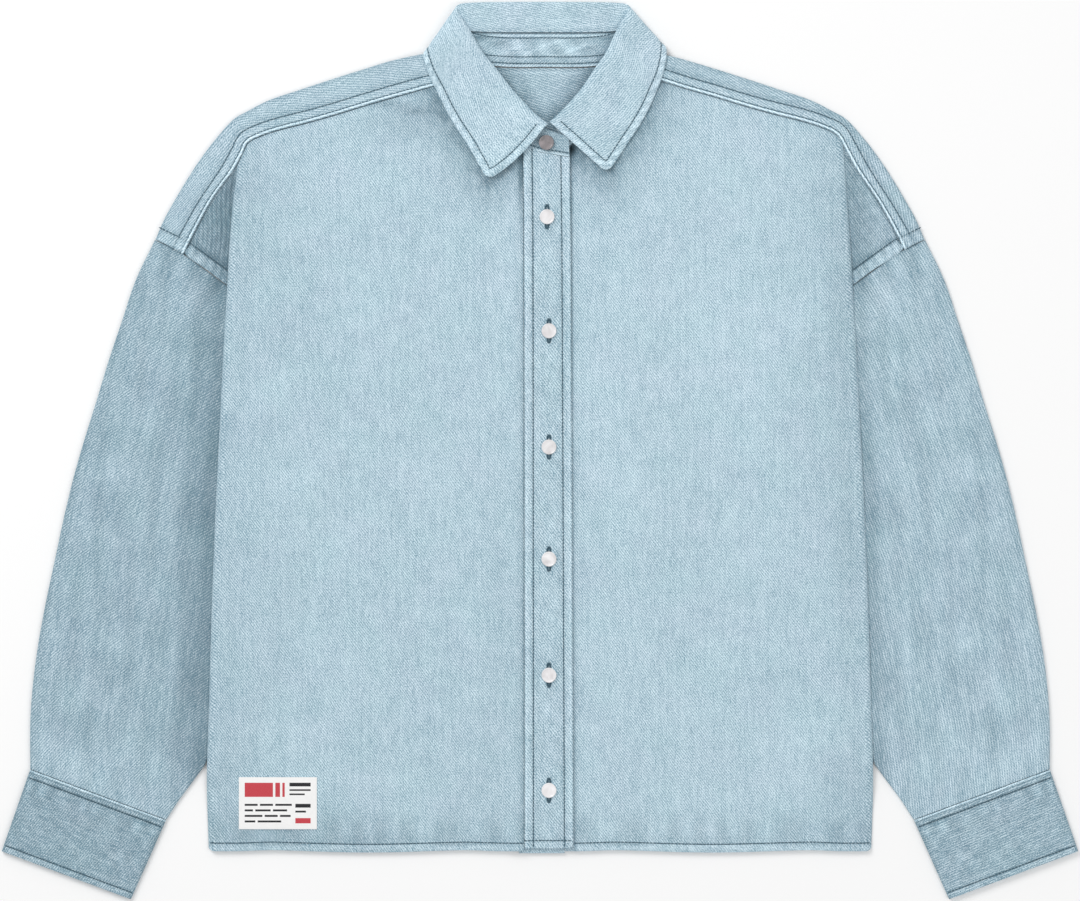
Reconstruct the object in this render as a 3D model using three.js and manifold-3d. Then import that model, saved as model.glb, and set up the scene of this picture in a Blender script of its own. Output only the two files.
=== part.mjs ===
import * as THREE from 'three';
import Module from 'manifold-3d';
import { mergeVertices } from 'three/addons/utils/BufferGeometryUtils.js';

const wasm = await Module();
wasm.setup();

// A long-sleeved denim shirt, buttoned and laid flat on its back. Lengths are in millimetres.
// +X runs to the wearer's left, +Y towards the collar and +Z up from the surface it lies on.
// The origin is under the middle of the shirt. Sizes for one half are measured outwards from
// the middle line, and the other half mirrors them.

const cloth = 1.2;          // wall of one layer of denim
const layerGap = 0.5;       // air between layers that lie on each other
const layer = cloth + layerGap;
const seamGap = 0.4;        // between pieces that are sewn edge to edge
const bandCloth = 1.8;      // placket, folded double
const cuffCloth = 1.6;      // cuff wall, two layers
const collarCloth = 1.6;    // collar fall, two layers
const standCloth = 1.4;     // collar stand
const hemHeight = 8;
const hemRise = 0.8;        // extra thickness of the turned hem
const bodyBottom = -340.4;  // hem edge of the fronts
const backBottom = -339.2;

// Side fold of the body. Columns: height y, distance x from the middle.
const sideFoldRows = [
  [-340.4, 281.6], [-280, 283.1], [-212, 281.3], [-127, 278.8], [-42, 275.4], [26, 272],
  [94, 268.6], [136, 266.1], [170, 264.3], [213, 260.9], [254, 257.2],
];
// Armhole seam from the shoulder down to the underarm, then the inner edge of the sleeve.
// Columns: height y, distance x.
const sleeveInnerRows = [
  [-313.6, 317.5], [-297, 306.8], [-280, 294.1], [-267, 284.5], [-233, 270.3], [-127, 236.3],
  [-40, 207.5], [0, 197], [34, 202.3], [64, 211.7], [94, 227.8], [120, 246.5], [140, 266.1],
  [156, 288.1], [168.7, 306], [178.9, 327.2],
];
// Outer fold of the sleeve. Columns: height y, distance x.
const sleeveOuterRows = [
  [-270.7, 433.1], [-229, 433.1], [-195, 430.5], [-161, 425.8], [-127, 419.5], [-93, 412.2],
  [-59, 405], [-25, 396.9], [9, 387.2], [43, 376.6], [77, 366.3], [111, 354.9], [145, 343.4],
  [178.9, 327.2],
];
const underarm = { x: 197, y: 0 };
const shoulderPoint = { x: 327.2, y: 178.9 };
const cuffTop = { outer: [433.1, -270.7], inner: [317.5, -313.6] };
const cuffBottom = { outer: [457.3, -340.4], inner: [347.6, -381.2] };
// Shoulder: the fold, the yoke's front seam and its back seam beside it.
// Columns: fold x, fold y, front seam x, front seam y.
const shoulderRows = [
  [85.5, 340.4, 76, 317], [123.2, 331.9, 118, 304.8], [150, 323.9, 148, 296.5],
  [178.5, 314.9, 176, 288.2], [204, 306.5, 200, 281.8], [229.5, 297.9, 221, 276.8],
  [248, 288.6, 238, 271.6], [260.9, 280.9, 250.5, 265], [276.2, 263.9, 256.7, 253.7],
  [289, 246.9, 265.2, 238.4], [300.1, 229.9, 273.5, 226.8], [310.2, 212.9, 284, 211.4],
  [319.6, 195.9, 295.5, 190.5], [325.6, 181.9, 305.6, 170.4],
];
// Back yoke seam. Columns: distance x, height y.
const backSeamRows = [[0, 246.9], [127.5, 246.9], [204, 241.8], [242.2, 217.2], [270.3, 178.9], [286, 157]];

// Collar, half of the ring from the middle of the back to the front end of a leaf.
// n: neck seam, s: seam of stand and fall, c: crease, e: free edge. Each has x, y and the
// height z of the middle of the cloth. turn says on which side of the stand the fall lies:
// 1 under it at the back, -1 over it at the front.
const collarRows = [
  { n: [0, 326, 2.7], s: [0, 354, 3.6], c: [0, 380.4, 3.4], e: [0, 337, 0.8], turn: 1 },
  { n: [30, 326, 2.7], s: [30, 354, 3.6], c: [32, 380.3, 3.4], e: [36, 337, 0.8], turn: 1 },
  { n: [56, 328.5, 2.7], s: [54, 354.5, 3.6], c: [55.5, 379.9, 3.4], e: [70, 337.5, 0.8], turn: 1 },
  { n: [72, 333.5, 2.8], s: [65, 355.5, 3.8], c: [67, 379.2, 3.5], e: [92, 338.3, 0.8], turn: 0.9 },
  { n: [79.5, 338, 3.0], s: [70.5, 357, 4.0], c: [71.6, 377.8, 3.9], e: [102.5, 339.9, 1.0], turn: 0.5 },
  { n: [82, 339.8, 3.4], s: [72.5, 357, 4.7], c: [73.2, 375.6, 5.2], e: [106, 340.8, 3.0], turn: 0 },
  { n: [82, 337.5, 3.9], s: [71.5, 354, 5.3], c: [72.4, 372.2, 6.8], e: [105.4, 339.4, 5.6], turn: -0.5 },
  { n: [81, 332, 4.2], s: [68.5, 348.5, 5.7], c: [69.5, 367, 8.0], e: [103.5, 330, 6.2], turn: -0.9 },
  { n: [77.5, 323.5, 3.6], s: [62.5, 340.5, 5.8], c: [63.5, 357.5, 8.2], e: [99, 317, 4.8], turn: -1 },
  { n: [71, 312.5, 2.6], s: [52.5, 328.5, 5.6], c: [53, 338, 8.0], e: [93, 303, 4.2], turn: -1 },
  { n: [62, 301, 2.2], s: [43, 316, 5.2], c: [42, 323.5, 7.6], e: [86, 289.5, 4.1], turn: -1 },
  { n: [51, 288.5, 2.2], s: [32.5, 303.5, 4.9], c: [30.5, 307.5, 7.3], e: [78, 275.5, 4.1], turn: -1 },
  { n: [39, 276.5, 2.2], s: [22, 292.5, 4.6], c: [19.5, 295, 7.2], e: [69, 262, 4.2], turn: -1 },
  { n: [27.5, 266.5, 2.2], s: [13, 283.5, 4.4], c: [10.5, 285.5, 7.3], e: [60.5, 249, 4.8], turn: -1 },
  { n: [17.5, 257.8, 2.2], s: [5, 277.5, 4.2], c: [2.5, 278.5, 7.8], e: [51, 235.5, 6.0], turn: -1 },
];
// The wearer's right end of the stand lies over the left one. Raise of its last stations.
const overRaise = [0, 0, 0, 0, 0, 0, 0, 0, 0, 0, 0, 0, 0.4, 1.0, 1.7];
// Buttoned tab of the stand, past the last station on the wearer's right.
const tabRows = [
  { n: [5, 253.4, 4.6], s: [-0.5, 273, 6.2] },
  { n: [-8, 251.2, 4.8], s: [-9, 269.5, 6.1] },
  { n: [-19, 249.4, 4.8], s: [-18.4, 267.5, 5.9] },
];

// Placket. Columns: height y, left edge x, right edge x.
const placketRows = [[-337.9, -13.2, 28.4], [170, -13.6, 26.2], [253.2, -14.4, 25.3]];
const underBand = { left: -17.8, right: 20.9, bottom: -342.1, top: 247 };
const button = { radius: 6.4, height: 2.2, rim: 0.5, sides: 16 };
const buttonRows = [          // columns: x, y
  [6, 198.5], [7.6, 101.6], [7.6, 3], [7.6, -92.2], [7.6, -190.8], [7.6, -288.6],
];
const standButton = [5.4, 261.5];
const label = { left: -255.8, right: -189.5, top: -277.5, bottom: -321.7, cloth: 1, gap: 0.9 };

const { clamp, lerp, smoothstep } = THREE.MathUtils;

// Value at a place in a table of [place, value] rows, on a smooth curve through the rows.
function along(rows, place) {
  const last = rows.length - 1;
  const held = clamp(place, rows[0][0], rows[last][0]);
  let k = 0;
  while (k < last - 1 && rows[k + 1][0] < held) k += 1;
  const [x0, y0] = rows[k];
  const [x1, y1] = rows[k + 1];
  const width = x1 - x0;
  const before = rows[Math.max(k - 1, 0)];
  const after = rows[Math.min(k + 2, last)];
  const slopeIn = (y1 - before[1]) / (x1 - before[0]);
  const slopeOut = (after[1] - y0) / (after[0] - x0);
  const t = (held - x0) / width;
  const rise = t * t * (3 - 2 * t);
  return y0 + (y1 - y0) * rise + width * (slopeIn * t * (1 - t) ** 2 - slopeOut * t * t * (1 - t));
}

// The same on straight lines between the rows, for seams that two pieces share.
function straightAlong(rows, place) {
  const last = rows.length - 1;
  const held = clamp(place, rows[0][0], rows[last][0]);
  let k = 0;
  while (k < last - 1 && rows[k + 1][0] < held) k += 1;
  const t = (held - rows[k][0]) / (rows[k + 1][0] - rows[k][0]);
  return lerp(rows[k][1], rows[k + 1][1], t);
}

const sideFold = (y) => along(sideFoldRows, y);
const sleeveInner = (y) => straightAlong(sleeveInnerRows, y);
const sleeveOuter = (y) => along(sleeveOuterRows, y);
const backSeam = (x) => straightAlong(backSeamRows, Math.abs(x));
const shoulderFold = (x) => straightAlong(shoulderRows, Math.abs(x));

// The collar and placket lie a little to the wearer's left of the middle.
function collarShift(y) {
  return lerp(6, 2.5, smoothstep(y, 290, 370));
}

// How far the hidden sleeve edge lifts the cloth that lies on it. The fold that this makes
// dies out at the yoke.
const rampWidth = 34;
const rampEnd = 6;            // the climb is over this far before the sleeve
function sleeveLift(x, y) {
  const depth = Math.abs(x) - sleeveInner(Math.min(y, 140)) + rampWidth + rampEnd;
  const fade = 1 - smoothstep(y, 140, 250);
  return 2 * layer * fade * smoothstep(depth, 0, rampWidth);
}

// How far the back of the collar fall lifts the yoke that lies on it.
function collarLift(x, y) {
  const past = Math.abs(x - collarShift(y));
  return 2 * smoothstep(y, 309, 333) * (1 - smoothstep(past, 107, 130));
}

// The back panel lies on the sleeves only below the underarm.
const flapTop = -80;
function backLift(x, y) {
  return sleeveLift(x, y) * (1 - smoothstep(y, flapTop, flapTop + 20));
}

// Lower face of the fronts and the front of the yoke.
function frontLevel(x, y) {
  return layer + sleeveLift(x, y) + collarLift(x, y);
}

// A closed wall from two grids of points, outer[i][j] and inner[i][j]. With ring, j closes on
// itself and the ends in i are open mouths.
function wall(outer, inner, ring = false) {
  const rows = outer.length;
  const columns = outer[0].length;
  const positions = [...outer.flat(2), ...inner.flat(2)];
  const faces = [];
  const at = (side, i, j) => side * rows * columns + i * columns + (j % columns);
  const quad = (a, b, c, d) => faces.push(a, b, c, a, c, d);
  const spans = ring ? columns : columns - 1;
  for (let i = 0; i < rows - 1; i += 1) {
    for (let j = 0; j < spans; j += 1) {
      quad(at(0, i, j), at(0, i + 1, j), at(0, i + 1, j + 1), at(0, i, j + 1));
      quad(at(1, i, j), at(1, i, j + 1), at(1, i + 1, j + 1), at(1, i + 1, j));
    }
  }
  for (let j = 0; j < spans; j += 1) {
    quad(at(0, 0, j), at(0, 0, j + 1), at(1, 0, j + 1), at(1, 0, j));
    quad(at(0, rows - 1, j), at(1, rows - 1, j), at(1, rows - 1, j + 1), at(0, rows - 1, j + 1));
  }
  if (!ring) {
    const far = columns - 1;
    for (let i = 0; i < rows - 1; i += 1) {
      quad(at(0, i, 0), at(1, i, 0), at(1, i + 1, 0), at(0, i + 1, 0));
      quad(at(0, i, far), at(0, i + 1, far), at(1, i + 1, far), at(1, i, far));
    }
  }
  const geometry = new THREE.BufferGeometry();
  geometry.setAttribute('position', new THREE.Float32BufferAttribute(positions, 3));
  geometry.setIndex(faces);
  return facingOut(geometry);
}

function volume(geometry) {
  const place = geometry.attributes.position;
  const index = geometry.index.array;
  const [a, b, c] = [new THREE.Vector3(), new THREE.Vector3(), new THREE.Vector3()];
  let sum = 0;
  for (let k = 0; k < index.length; k += 3) {
    a.fromBufferAttribute(place, index[k]);
    b.fromBufferAttribute(place, index[k + 1]);
    c.fromBufferAttribute(place, index[k + 2]);
    sum += a.dot(b.cross(c)) / 6;
  }
  return sum;
}

function facingOut(geometry) {
  if (volume(geometry) < 0) {
    geometry.setIndex([...geometry.index.array].reverse());
  }
  return geometry;
}

function toSolid(geometry) {
  const vertProperties = new Float32Array(geometry.attributes.position.array);
  const triVerts = new Uint32Array(geometry.index.array);
  return new wasm.Manifold(new wasm.Mesh({ numProp: 3, vertProperties, triVerts }));
}

// Pieces joined to one solid. The largest part is kept, so no sealed hollow is left in a lap.
function joined(geometries) {
  const solids = geometries.map(toSolid).reduce((all, one) => all.add(one)).decompose();
  const mesh = solids.sort((a, b) => b.volume() - a.volume())[0].getMesh();
  const geometry = new THREE.BufferGeometry();
  geometry.setAttribute('position', new THREE.Float32BufferAttribute(mesh.vertProperties, 3));
  geometry.setIndex([...mesh.triVerts]);
  return geometry;
}

// A wall of even thickness about a grid of middle points, moved out along the normals.
function thickened(middle, thickness) {
  const rows = middle.length;
  const columns = middle[0].length;
  const point = (i, j) => {
    return new THREE.Vector3(...middle[clamp(i, 0, rows - 1)][clamp(j, 0, columns - 1)]);
  };
  const side = (offset) => middle.map((row, i) => row.map((_, j) => {
    const acrossRows = point(i + 1, j).sub(point(i - 1, j));
    const acrossColumns = point(i, j + 1).sub(point(i, j - 1));
    const normal = acrossRows.cross(acrossColumns).normalize();
    return point(i, j).addScaledVector(normal, offset).toArray();
  }));
  return wall(side(thickness / 2), side(-thickness / 2));
}

function evenly(start, end, count) {
  return Array.from({ length: count }, (_, k) => lerp(start, end, k / (count - 1)));
}

// Columns of a body panel at one height: close together where it climbs onto the sleeve.
function panelColumns(start, y, edge) {
  const climb = Math.min(sleeveInner(y) - rampWidth - rampEnd, edge - rampWidth - 8);
  return [
    ...start,
    ...evenly(start.at(-1), climb, 4).slice(1),
    ...evenly(climb, climb + rampWidth, 4).slice(1),
    ...evenly(climb + rampWidth, edge, 4).slice(1),
  ];
}

const frontRows = [
  bodyBottom, bodyBottom + hemHeight - 1, bodyBottom + hemHeight, -300, -268, -235, -200, -160,
  -120, -80, -40, 0, 36, 70, 100, 122, 139.5, 143, 170, 198,
];
const frontTopSteps = [0.25, 0.5, 0.75, 1];

// Top edge of a front: the neck seam inside, then the yoke seam.
function frontTop(side, x) {
  const neckRows = collarRows.slice(7).map(({ n }) => {
    return [n[0] + side * collarShift(n[1]), n[1]];
  });
  const seamRows = shoulderRows.slice(0, 9).map(([, , seamX, seamY]) => [seamX, seamY]);
  const neck = along(neckRows.reverse(), x);
  const seam = along(seamRows, x);
  return Math.min(neck - 1.6, seam - 2 * seamGap);
}

function placketEdge(column, y) {
  return along(placketRows.map((row) => [row[0], row[column]]), y);
}

// The front on the wearer's right reaches the placket and lies on the button band.
function overLift(side, x) {
  return side < 0 ? layer * (1 - smoothstep(x, 20, 32)) : 0;
}

// One front panel. Its last columns turn down over the side fold.
function front(side) {
  const outer = [];
  const inner = [];
  const addRow = (nominal, place) => {
    const fold = sideFold(nominal);
    const edgeX = side < 0 ? seamGap - placketEdge(1, nominal) : underBand.right + seamGap;
    const start = side < 0 ? [edgeX, 20, 26, 32] : [edgeX, 29, 33];
    const hem = nominal < bodyBottom + hemHeight ? hemRise : 0;
    const top = [];
    const bottom = [];
    for (const x of panelColumns(start, nominal, fold - 2)) {
      const y = place(x);
      const z = frontLevel(x, y) + overLift(side, x);
      const covered = side > 0 && x < 30;
      top.push([side * x, y, z + cloth + (covered ? 0 : hem)]);
      bottom.push([side * x, y, z]);
    }
    const y = place(fold);
    const level = frontLevel(fold, y);
    const onWedge = nominal > wedgeBottom;
    const lip = onWedge ? layer + cloth / 2 : level - layer + 0.1;
    const roll = [[0.6, 0.5, 1.5, 0.2], [0, 1.5, cloth, 0.7]];
    for (const [outIn, outDown, inIn, inDown] of roll) {
      top.push([side * (fold - outIn), y, Math.max(level + cloth + hem - outDown, lip + 0.3)]);
      bottom.push([side * (fold - inIn), y, Math.max(level - inDown, lip + 0.15)]);
    }
    top.push([side * fold, y, lip]);
    bottom.push([side * (fold - cloth), y, lip]);
    outer.push(top);
    inner.push(bottom);
  };
  frontRows.forEach((y) => addRow(y, () => y));
  const start = frontRows.at(-1);
  frontTopSteps.forEach((step) => {
    const nominal = lerp(start, 252, step);
    addRow(nominal, (x) => lerp(start, frontTop(side, x), step));
  });
  return joined([wall(outer, inner), wedge(side)]);
}

// The part of a front beyond its fold, down at the armhole, one level lower. Columns: inner x,
// inner y, outer x, outer y.
const wedgeBottom = 141;
const wedgeRows = [
  [251, wedgeBottom, 266.6, wedgeBottom], [252, 152, 281.5, 152.4], [252, 166, 302.4, 167.6],
  [252, 178, 300.6, 177.6], [251, 198, 290.6, 197.6], [250, 217, 278.7, 217],
  [249, 237, 264.2, 237.4], [247, 250, 256, 251.4],
];
function wedge(side) {
  const section = ([innerX, innerY, outerX, outerY], z) => evenly(0, 1, 4).map((t) => {
    return [side * lerp(innerX, outerX, t), lerp(innerY, outerY, t), z];
  });
  const outer = wedgeRows.map((row) => section(row, layer + cloth));
  const inner = wedgeRows.map((row) => section(row, layer));
  return wall(outer, inner);
}

// The back panel, flat where it rests and over the sleeves at its sides.
const backRows = [
  backBottom, backBottom + hemHeight, -300, -268, -235, -200, -160, -120, flapTop, flapTop + 2,
  -60, -30, 0, 34, 64, 94, 120, 140, 150,
];
function back() {
  const outer = [];
  const inner = [];
  const addRow = (nominal, place) => {
    const onFlap = nominal <= flapTop;
    const reach = onFlap ? sideFold(nominal) - cloth - seamGap : sleeveInner(nominal) - 2 * seamGap;
    const half = panelColumns([0, 60], nominal, reach);
    const columns = [...half.slice(1).reverse().map((x) => -x), ...half];
    outer.push(columns.map((x) => [x, place(x), backLift(x, place(x)) + cloth]));
    inner.push(columns.map((x) => [x, place(x), backLift(x, place(x))]));
  };
  backRows.forEach((y) => addRow(y, () => y));
  [0.33, 0.66, 1].forEach((step) => {
    addRow(backRows.at(-1), (x) => lerp(backRows.at(-1), backSeam(x) - seamGap / 2, step));
  });
  return wall(outer, inner);
}

// The yoke in one piece: its back lies on the surface and it wraps both shoulders to the
// front seams.
const wrapLap = 9;            // how far a wrap reaches into the back of the yoke
function yoke() {
  const neckRows = collarRows.slice(0, 6).map(({ n }) => [n[0], n[1]]);
  const armholeRows = sleeveInnerRows.slice(-4).map(([y, x]) => [x, y]);
  const outer = [];
  const inner = [];
  const foldColumns = shoulderRows.slice(1).map(([x]) => x);
  const seamColumns = [...backSeamRows.slice(1), ...armholeRows.slice(1, 3)].map(([x]) => x);
  const neckColumns = [0, 28, 54, 70, 79, 85, 104];
  const half = [...neckColumns, ...foldColumns, ...seamColumns].sort((a, b) => a - b);
  half[half.length - 1] = 322;
  const columns = [...half.slice(1).reverse().map((x) => -x), ...half];
  const topY = (x) => {
    const neck = along(neckRows, Math.abs(x - collarShift(330))) - 1.2;
    return Math.abs(x) <= 85 ? Math.min(neck, 338) : shoulderFold(x) - 1.2;
  };
  const bottomY = (x) => {
    const reach = Math.abs(x);
    return reach <= 286 ? backSeam(x) + seamGap / 2 : straightAlong(armholeRows, reach) + seamGap;
  };
  for (const step of evenly(0, 1, 6)) {
    const place = (x) => lerp(bottomY(x), topY(x), step);
    outer.push(columns.map((x) => [x, place(x), collarLift(x, place(x)) + cloth]));
    inner.push(columns.map((x) => [x, place(x), collarLift(x, place(x))]));
  }
  return joined([wall(outer, inner), shoulderWrap(-1), shoulderWrap(1)]);
}

function shoulderWrap(side) {
  const outer = [];
  const inner = [];
  const radius = layer / 2 + cloth / 2;
  shoulderRows.forEach(([foldX, foldY, seamX, seamY], k) => {
    const nudge = k === 0 ? side * collarShift(330) : 0;
    const fold = new THREE.Vector2(foldX + nudge, foldY);
    const seam = new THREE.Vector2(seamX + nudge, seamY);
    const inward = seam.clone().sub(fold);
    const depth = inward.length();
    inward.normalize();
    const at = (distance, z) => {
      const x = side * (fold.x + inward.x * distance);
      const y = fold.y + inward.y * distance;
      return [x, y, z + collarLift(x, y)];
    };
    const top = evenly(depth - seamGap / 2, radius, 4);
    const underneath = [radius, wrapLap];
    outer.push([
      ...top.map((distance) => at(distance, 2 * radius)), at(0.4, 2.1), at(0, radius), at(0.4, 0.7),
      ...underneath.map((distance) => at(distance, 0.3)),
    ]);
    inner.push([
      ...top.map((distance) => at(distance, layer)), at(1.3, 1.52), at(cloth, radius), at(1.3, 1.28),
      ...underneath.map((distance) => at(distance, cloth - 0.3)),
    ]);
  });
  return wall(outer, inner);
}

// A flattened tube of cloth. Each row gives plan points from the outer fold to the inner one.
function flatTube(rows, thickness, slot, crown = () => 0) {
  const height = 2 * thickness + slot;
  const outer = [];
  const inner = [];
  rows.forEach((row, i) => {
    const last = row.length - 1;
    const over = row.map(([x, y], j) => [x, y, height + crown(i / (rows.length - 1), j / last)]);
    const under = row.map(([x, y]) => [x, y, 0]);
    const inward = (from, to, distance, z) => {
      const step = new THREE.Vector2(to[0] - from[0], to[1] - from[1]).setLength(distance);
      return [from[0] + step.x, from[1] + step.y, z];
    };
    const ends = [[row[0], row[1]], [row[last], row[last - 1]]];
    const edge = (k, distance, z) => inward(ends[k][0], ends[k][1], distance, z);
    const round = height / 2;
    outer.push([
      edge(0, 0, round), edge(0, round, height), ...over.slice(1, -1), edge(1, round, height),
      edge(1, 0, round), edge(1, round, 0), ...under.slice(1, -1).reverse(), edge(0, round, 0),
    ]);
    const lower = (point) => [point[0], point[1], point[2] - thickness];
    const raise = (point) => [point[0], point[1], thickness];
    inner.push([
      edge(0, thickness, round), edge(0, round, thickness + slot), ...over.slice(1, -1).map(lower),
      edge(1, round, thickness + slot), edge(1, thickness, round), edge(1, round, thickness),
      ...under.slice(1, -1).reverse().map(raise), edge(0, round, thickness),
    ]);
  });
  return wall(outer, inner, true);
}

// A sleeve from the armhole to the cuff seam. The part that the body covers stays flat.
const sleeveCrown = 1.4;
function sleeve(side) {
  const holeRows = sleeveInnerRows.filter(([y]) => y >= underarm.y).reverse();
  const across = holeRows.map(([y]) => (shoulderPoint.y - y) / (shoulderPoint.y - underarm.y));
  const armhole = (w) => {
    const y = lerp(shoulderPoint.y, underarm.y, w);
    return [sleeveInner(y), y];
  };
  const rows = evenly(0, 1, 14).map((t) => {
    const outerY = lerp(shoulderPoint.y, cuffTop.outer[1], t);
    const innerY = lerp(underarm.y, cuffTop.inner[1], t);
    const outerX = sleeveOuter(outerY);
    const innerX = sleeveInner(innerY);
    const bend = (1 - t) ** 2;
    return across.map((w) => {
      const [holeX, holeY] = armhole(w);
      const x = lerp(outerX, innerX, w) + bend * (holeX - lerp(shoulderPoint.x, underarm.x, w));
      const y = lerp(outerY, innerY, w) + bend * (holeY - lerp(shoulderPoint.y, underarm.y, w));
      return [side * x, y];
    });
  });
  const crown = (t, w) => {
    return sleeveCrown * Math.sin(Math.PI * t) * smoothstep(w, 0, 0.2) * (1 - smoothstep(w, 0.3, 0.5));
  };
  return flatTube(rows, cloth, layerGap, crown);
}

function cuff(side) {
  const rows = evenly(0, 1, 4).map((t) => evenly(0, 1, 5).map((w) => {
    const down = (from, to, axis) => lerp(from[axis], to[axis], t);
    const start = [down(cuffTop.outer, cuffBottom.outer, 0), down(cuffTop.outer, cuffBottom.outer, 1)];
    const end = [down(cuffTop.inner, cuffBottom.inner, 0), down(cuffTop.inner, cuffBottom.inner, 1)];
    const drop = t === 0 ? seamGap : 0;
    return [side * (lerp(start[0], end[0], w) + drop * 0.3), lerp(start[1], end[1], w) - drop];
  }));
  return flatTube(rows, cuffCloth, layerGap);
}

// Stations of the whole collar ring, from the wearer's left end round the back to the right.
function ringStations() {
  const place = (row, side, raise) => {
    const point = ([x, y, z]) => [side * x + collarShift(y), y, z + raise];
    return { n: point(row.n), s: point(row.s), c: point(row.c), e: point(row.e), turn: row.turn, raise };
  };
  const left = collarRows.map((row) => place(row, 1, 0)).reverse();
  const right = collarRows.slice(1).map((row, k) => place(row, -1, overRaise[k + 1]));
  return [...left, ...right];
}

function between(a, b, t) {
  return a.map((value, axis) => lerp(value, b[axis], t));
}

function stepFrom(a, b, distance) {
  const length = Math.hypot(b[0] - a[0], b[1] - a[1]);
  return [a[0] + (b[0] - a[0]) * distance / length, a[1] + (b[1] - a[1]) * distance / length, a[2]];
}

function stand() {
  const tab = tabRows.map(({ n, s }) => ({
    n: [collarShift(n[1]) - n[0], n[1], n[2]],
    s: [collarShift(s[1]) - s[0], s[1], s[2]],
  }));
  const middle = [...ringStations(), ...tab].map(({ n, s }) => {
    return evenly(0, 1, 4).map((t) => between(n, s, t));
  });
  return thickened(middle, standCloth);
}

// The fall of the collar: up from the stand, over the crease and down to its free edge.
const creaseReach = 4;
function fall() {
  const middle = ringStations().map(({ s, c, e, turn, raise }) => {
    const bend = lerp(1.9, 2.6, smoothstep(turn, -1, 1));
    const rise = Math.hypot(s[0] - c[0], s[1] - c[1]);
    const start = between(s, c, Math.min(1.5 / rise, 0.45));
    start[2] = s[2] + 0.5 * Math.abs(turn) * (turn < 0 ? 1 : 0);
    const into = stepFrom(c, s, Math.min(creaseReach, 0.5 * rise));
    const out = stepFrom(c, e, creaseReach);
    into[2] += bend * turn;
    out[2] -= bend * turn;
    const edge = [e[0], e[1], e[2] - raise * 0.8];
    const leaf = [0.2, 0.4, 0.6, 0.8, 1].map((t) => {
      const point = between(out, edge, t);
      if (turn < -0.8) {
        const rest = frontLevel(point[0], point[1]) + cloth + layerGap + collarCloth / 2;
        point[2] = Math.max(point[2], rest);
      }
      return point;
    });
    return [start, between(start, into, 0.5), into, c, out, ...leaf];
  });
  return thickened(middle, collarCloth);
}

// A flat strip between two side edges, with its upper edges eased.
function strip(heights, leftEdge, rightEdge, level, thickness) {
  const ease = 0.6;
  const outer = [];
  const inner = [];
  heights.forEach((place) => {
    const left = leftEdge(place);
    const right = rightEdge(place);
    const across = [left, left + ease, lerp(left, right, 0.5), right - ease, right];
    const drop = [ease, 0, 0, 0, ease];
    const y = (x) => (typeof place === 'number' ? place : place.at(x));
    outer.push(across.map((x, k) => [x, y(x), level + thickness - drop[k]]));
    inner.push(across.map((x) => [x, y(x), level]));
  });
  return wall(outer, inner);
}

const placketLevel = 2 * layer + 0.2;
function placket() {
  const heights = [placketRows[0][0], -333, ...evenly(-280, 200, 7), 247.8];
  return strip(heights, (y) => placketEdge(1, y), (y) => placketEdge(2, y), placketLevel, bandCloth);
}

function buttonBand() {
  const heights = evenly(underBand.bottom, underBand.top, 8);
  return strip(heights, () => underBand.left, () => underBand.right, layer, cloth);
}

function sewnLabel() {
  const outer = [];
  const inner = [];
  for (const y of evenly(label.bottom, label.top, 3)) {
    const across = evenly(label.left, label.right, 4);
    const level = (x) => frontLevel(x, y) + cloth + label.gap;
    outer.push(across.map((x) => [x, y, level(x) + label.cloth]));
    inner.push(across.map((x) => [x, y, level(x)]));
  }
  return wall(outer, inner);
}

// A flat button with a raised rim and an eased edge.
function buttonDisc() {
  const { radius, height, rim, sides } = button;
  const profile = [
    [0, 0], [radius - 1, 0], [radius, 0.7], [radius, height - 0.5], [radius - rim, height],
    [radius - 1.6, height - 0.4], [0, height - 0.4],
  ];
  const points = profile.map(([r, z]) => new THREE.Vector2(r, z));
  const disc = new THREE.LatheGeometry(points, sides).rotateX(Math.PI / 2);
  disc.deleteAttribute('normal');
  disc.deleteAttribute('uv');
  return facingOut(mergeVertices(disc, 1e-3));
}

const denim = { color: 0xb3cbd7, roughness: 0.9, metalness: 0 };
const denimShade = { color: 0x9dbac6, roughness: 0.9, metalness: 0 };
const pearl = { color: 0xe9e6e6, roughness: 0.35, metalness: 0.1 };
const whiteCloth = { color: 0xf2f2ee, roughness: 0.8, metalness: 0 };

const shirt = new THREE.Group();

function add(name, geometry, finish, x = 0, y = 0, z = 0) {
  const mesh = new THREE.Mesh(geometry, new THREE.MeshStandardMaterial(finish));
  mesh.name = name;
  mesh.position.set(x, y, z);
  shirt.add(mesh);
}

add('back', back(), denim);
add('yoke', yoke(), denim);
for (const [hand, side] of [['right', -1], ['left', 1]]) {
  add(`front_${hand}`, front(side), denim);
  add(`sleeve_${hand}`, sleeve(side), denimShade);
  add(`cuff_${hand}`, cuff(side), denimShade);
}
add('button_band', buttonBand(), denim);
add('placket', placket(), denim);
add('collar_stand', stand(), denim);
add('collar_fall', fall(), denim);
add('label', sewnLabel(), whiteCloth);
buttonRows.forEach(([x, y], k) => {
  add(`button_${k + 1}`, buttonDisc(), pearl, x, y, placketLevel + bandCloth + 0.3);
});
add('button_stand', buttonDisc(), pearl, standButton[0], standButton[1], 6.7);

export default shirt;
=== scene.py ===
import math

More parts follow.
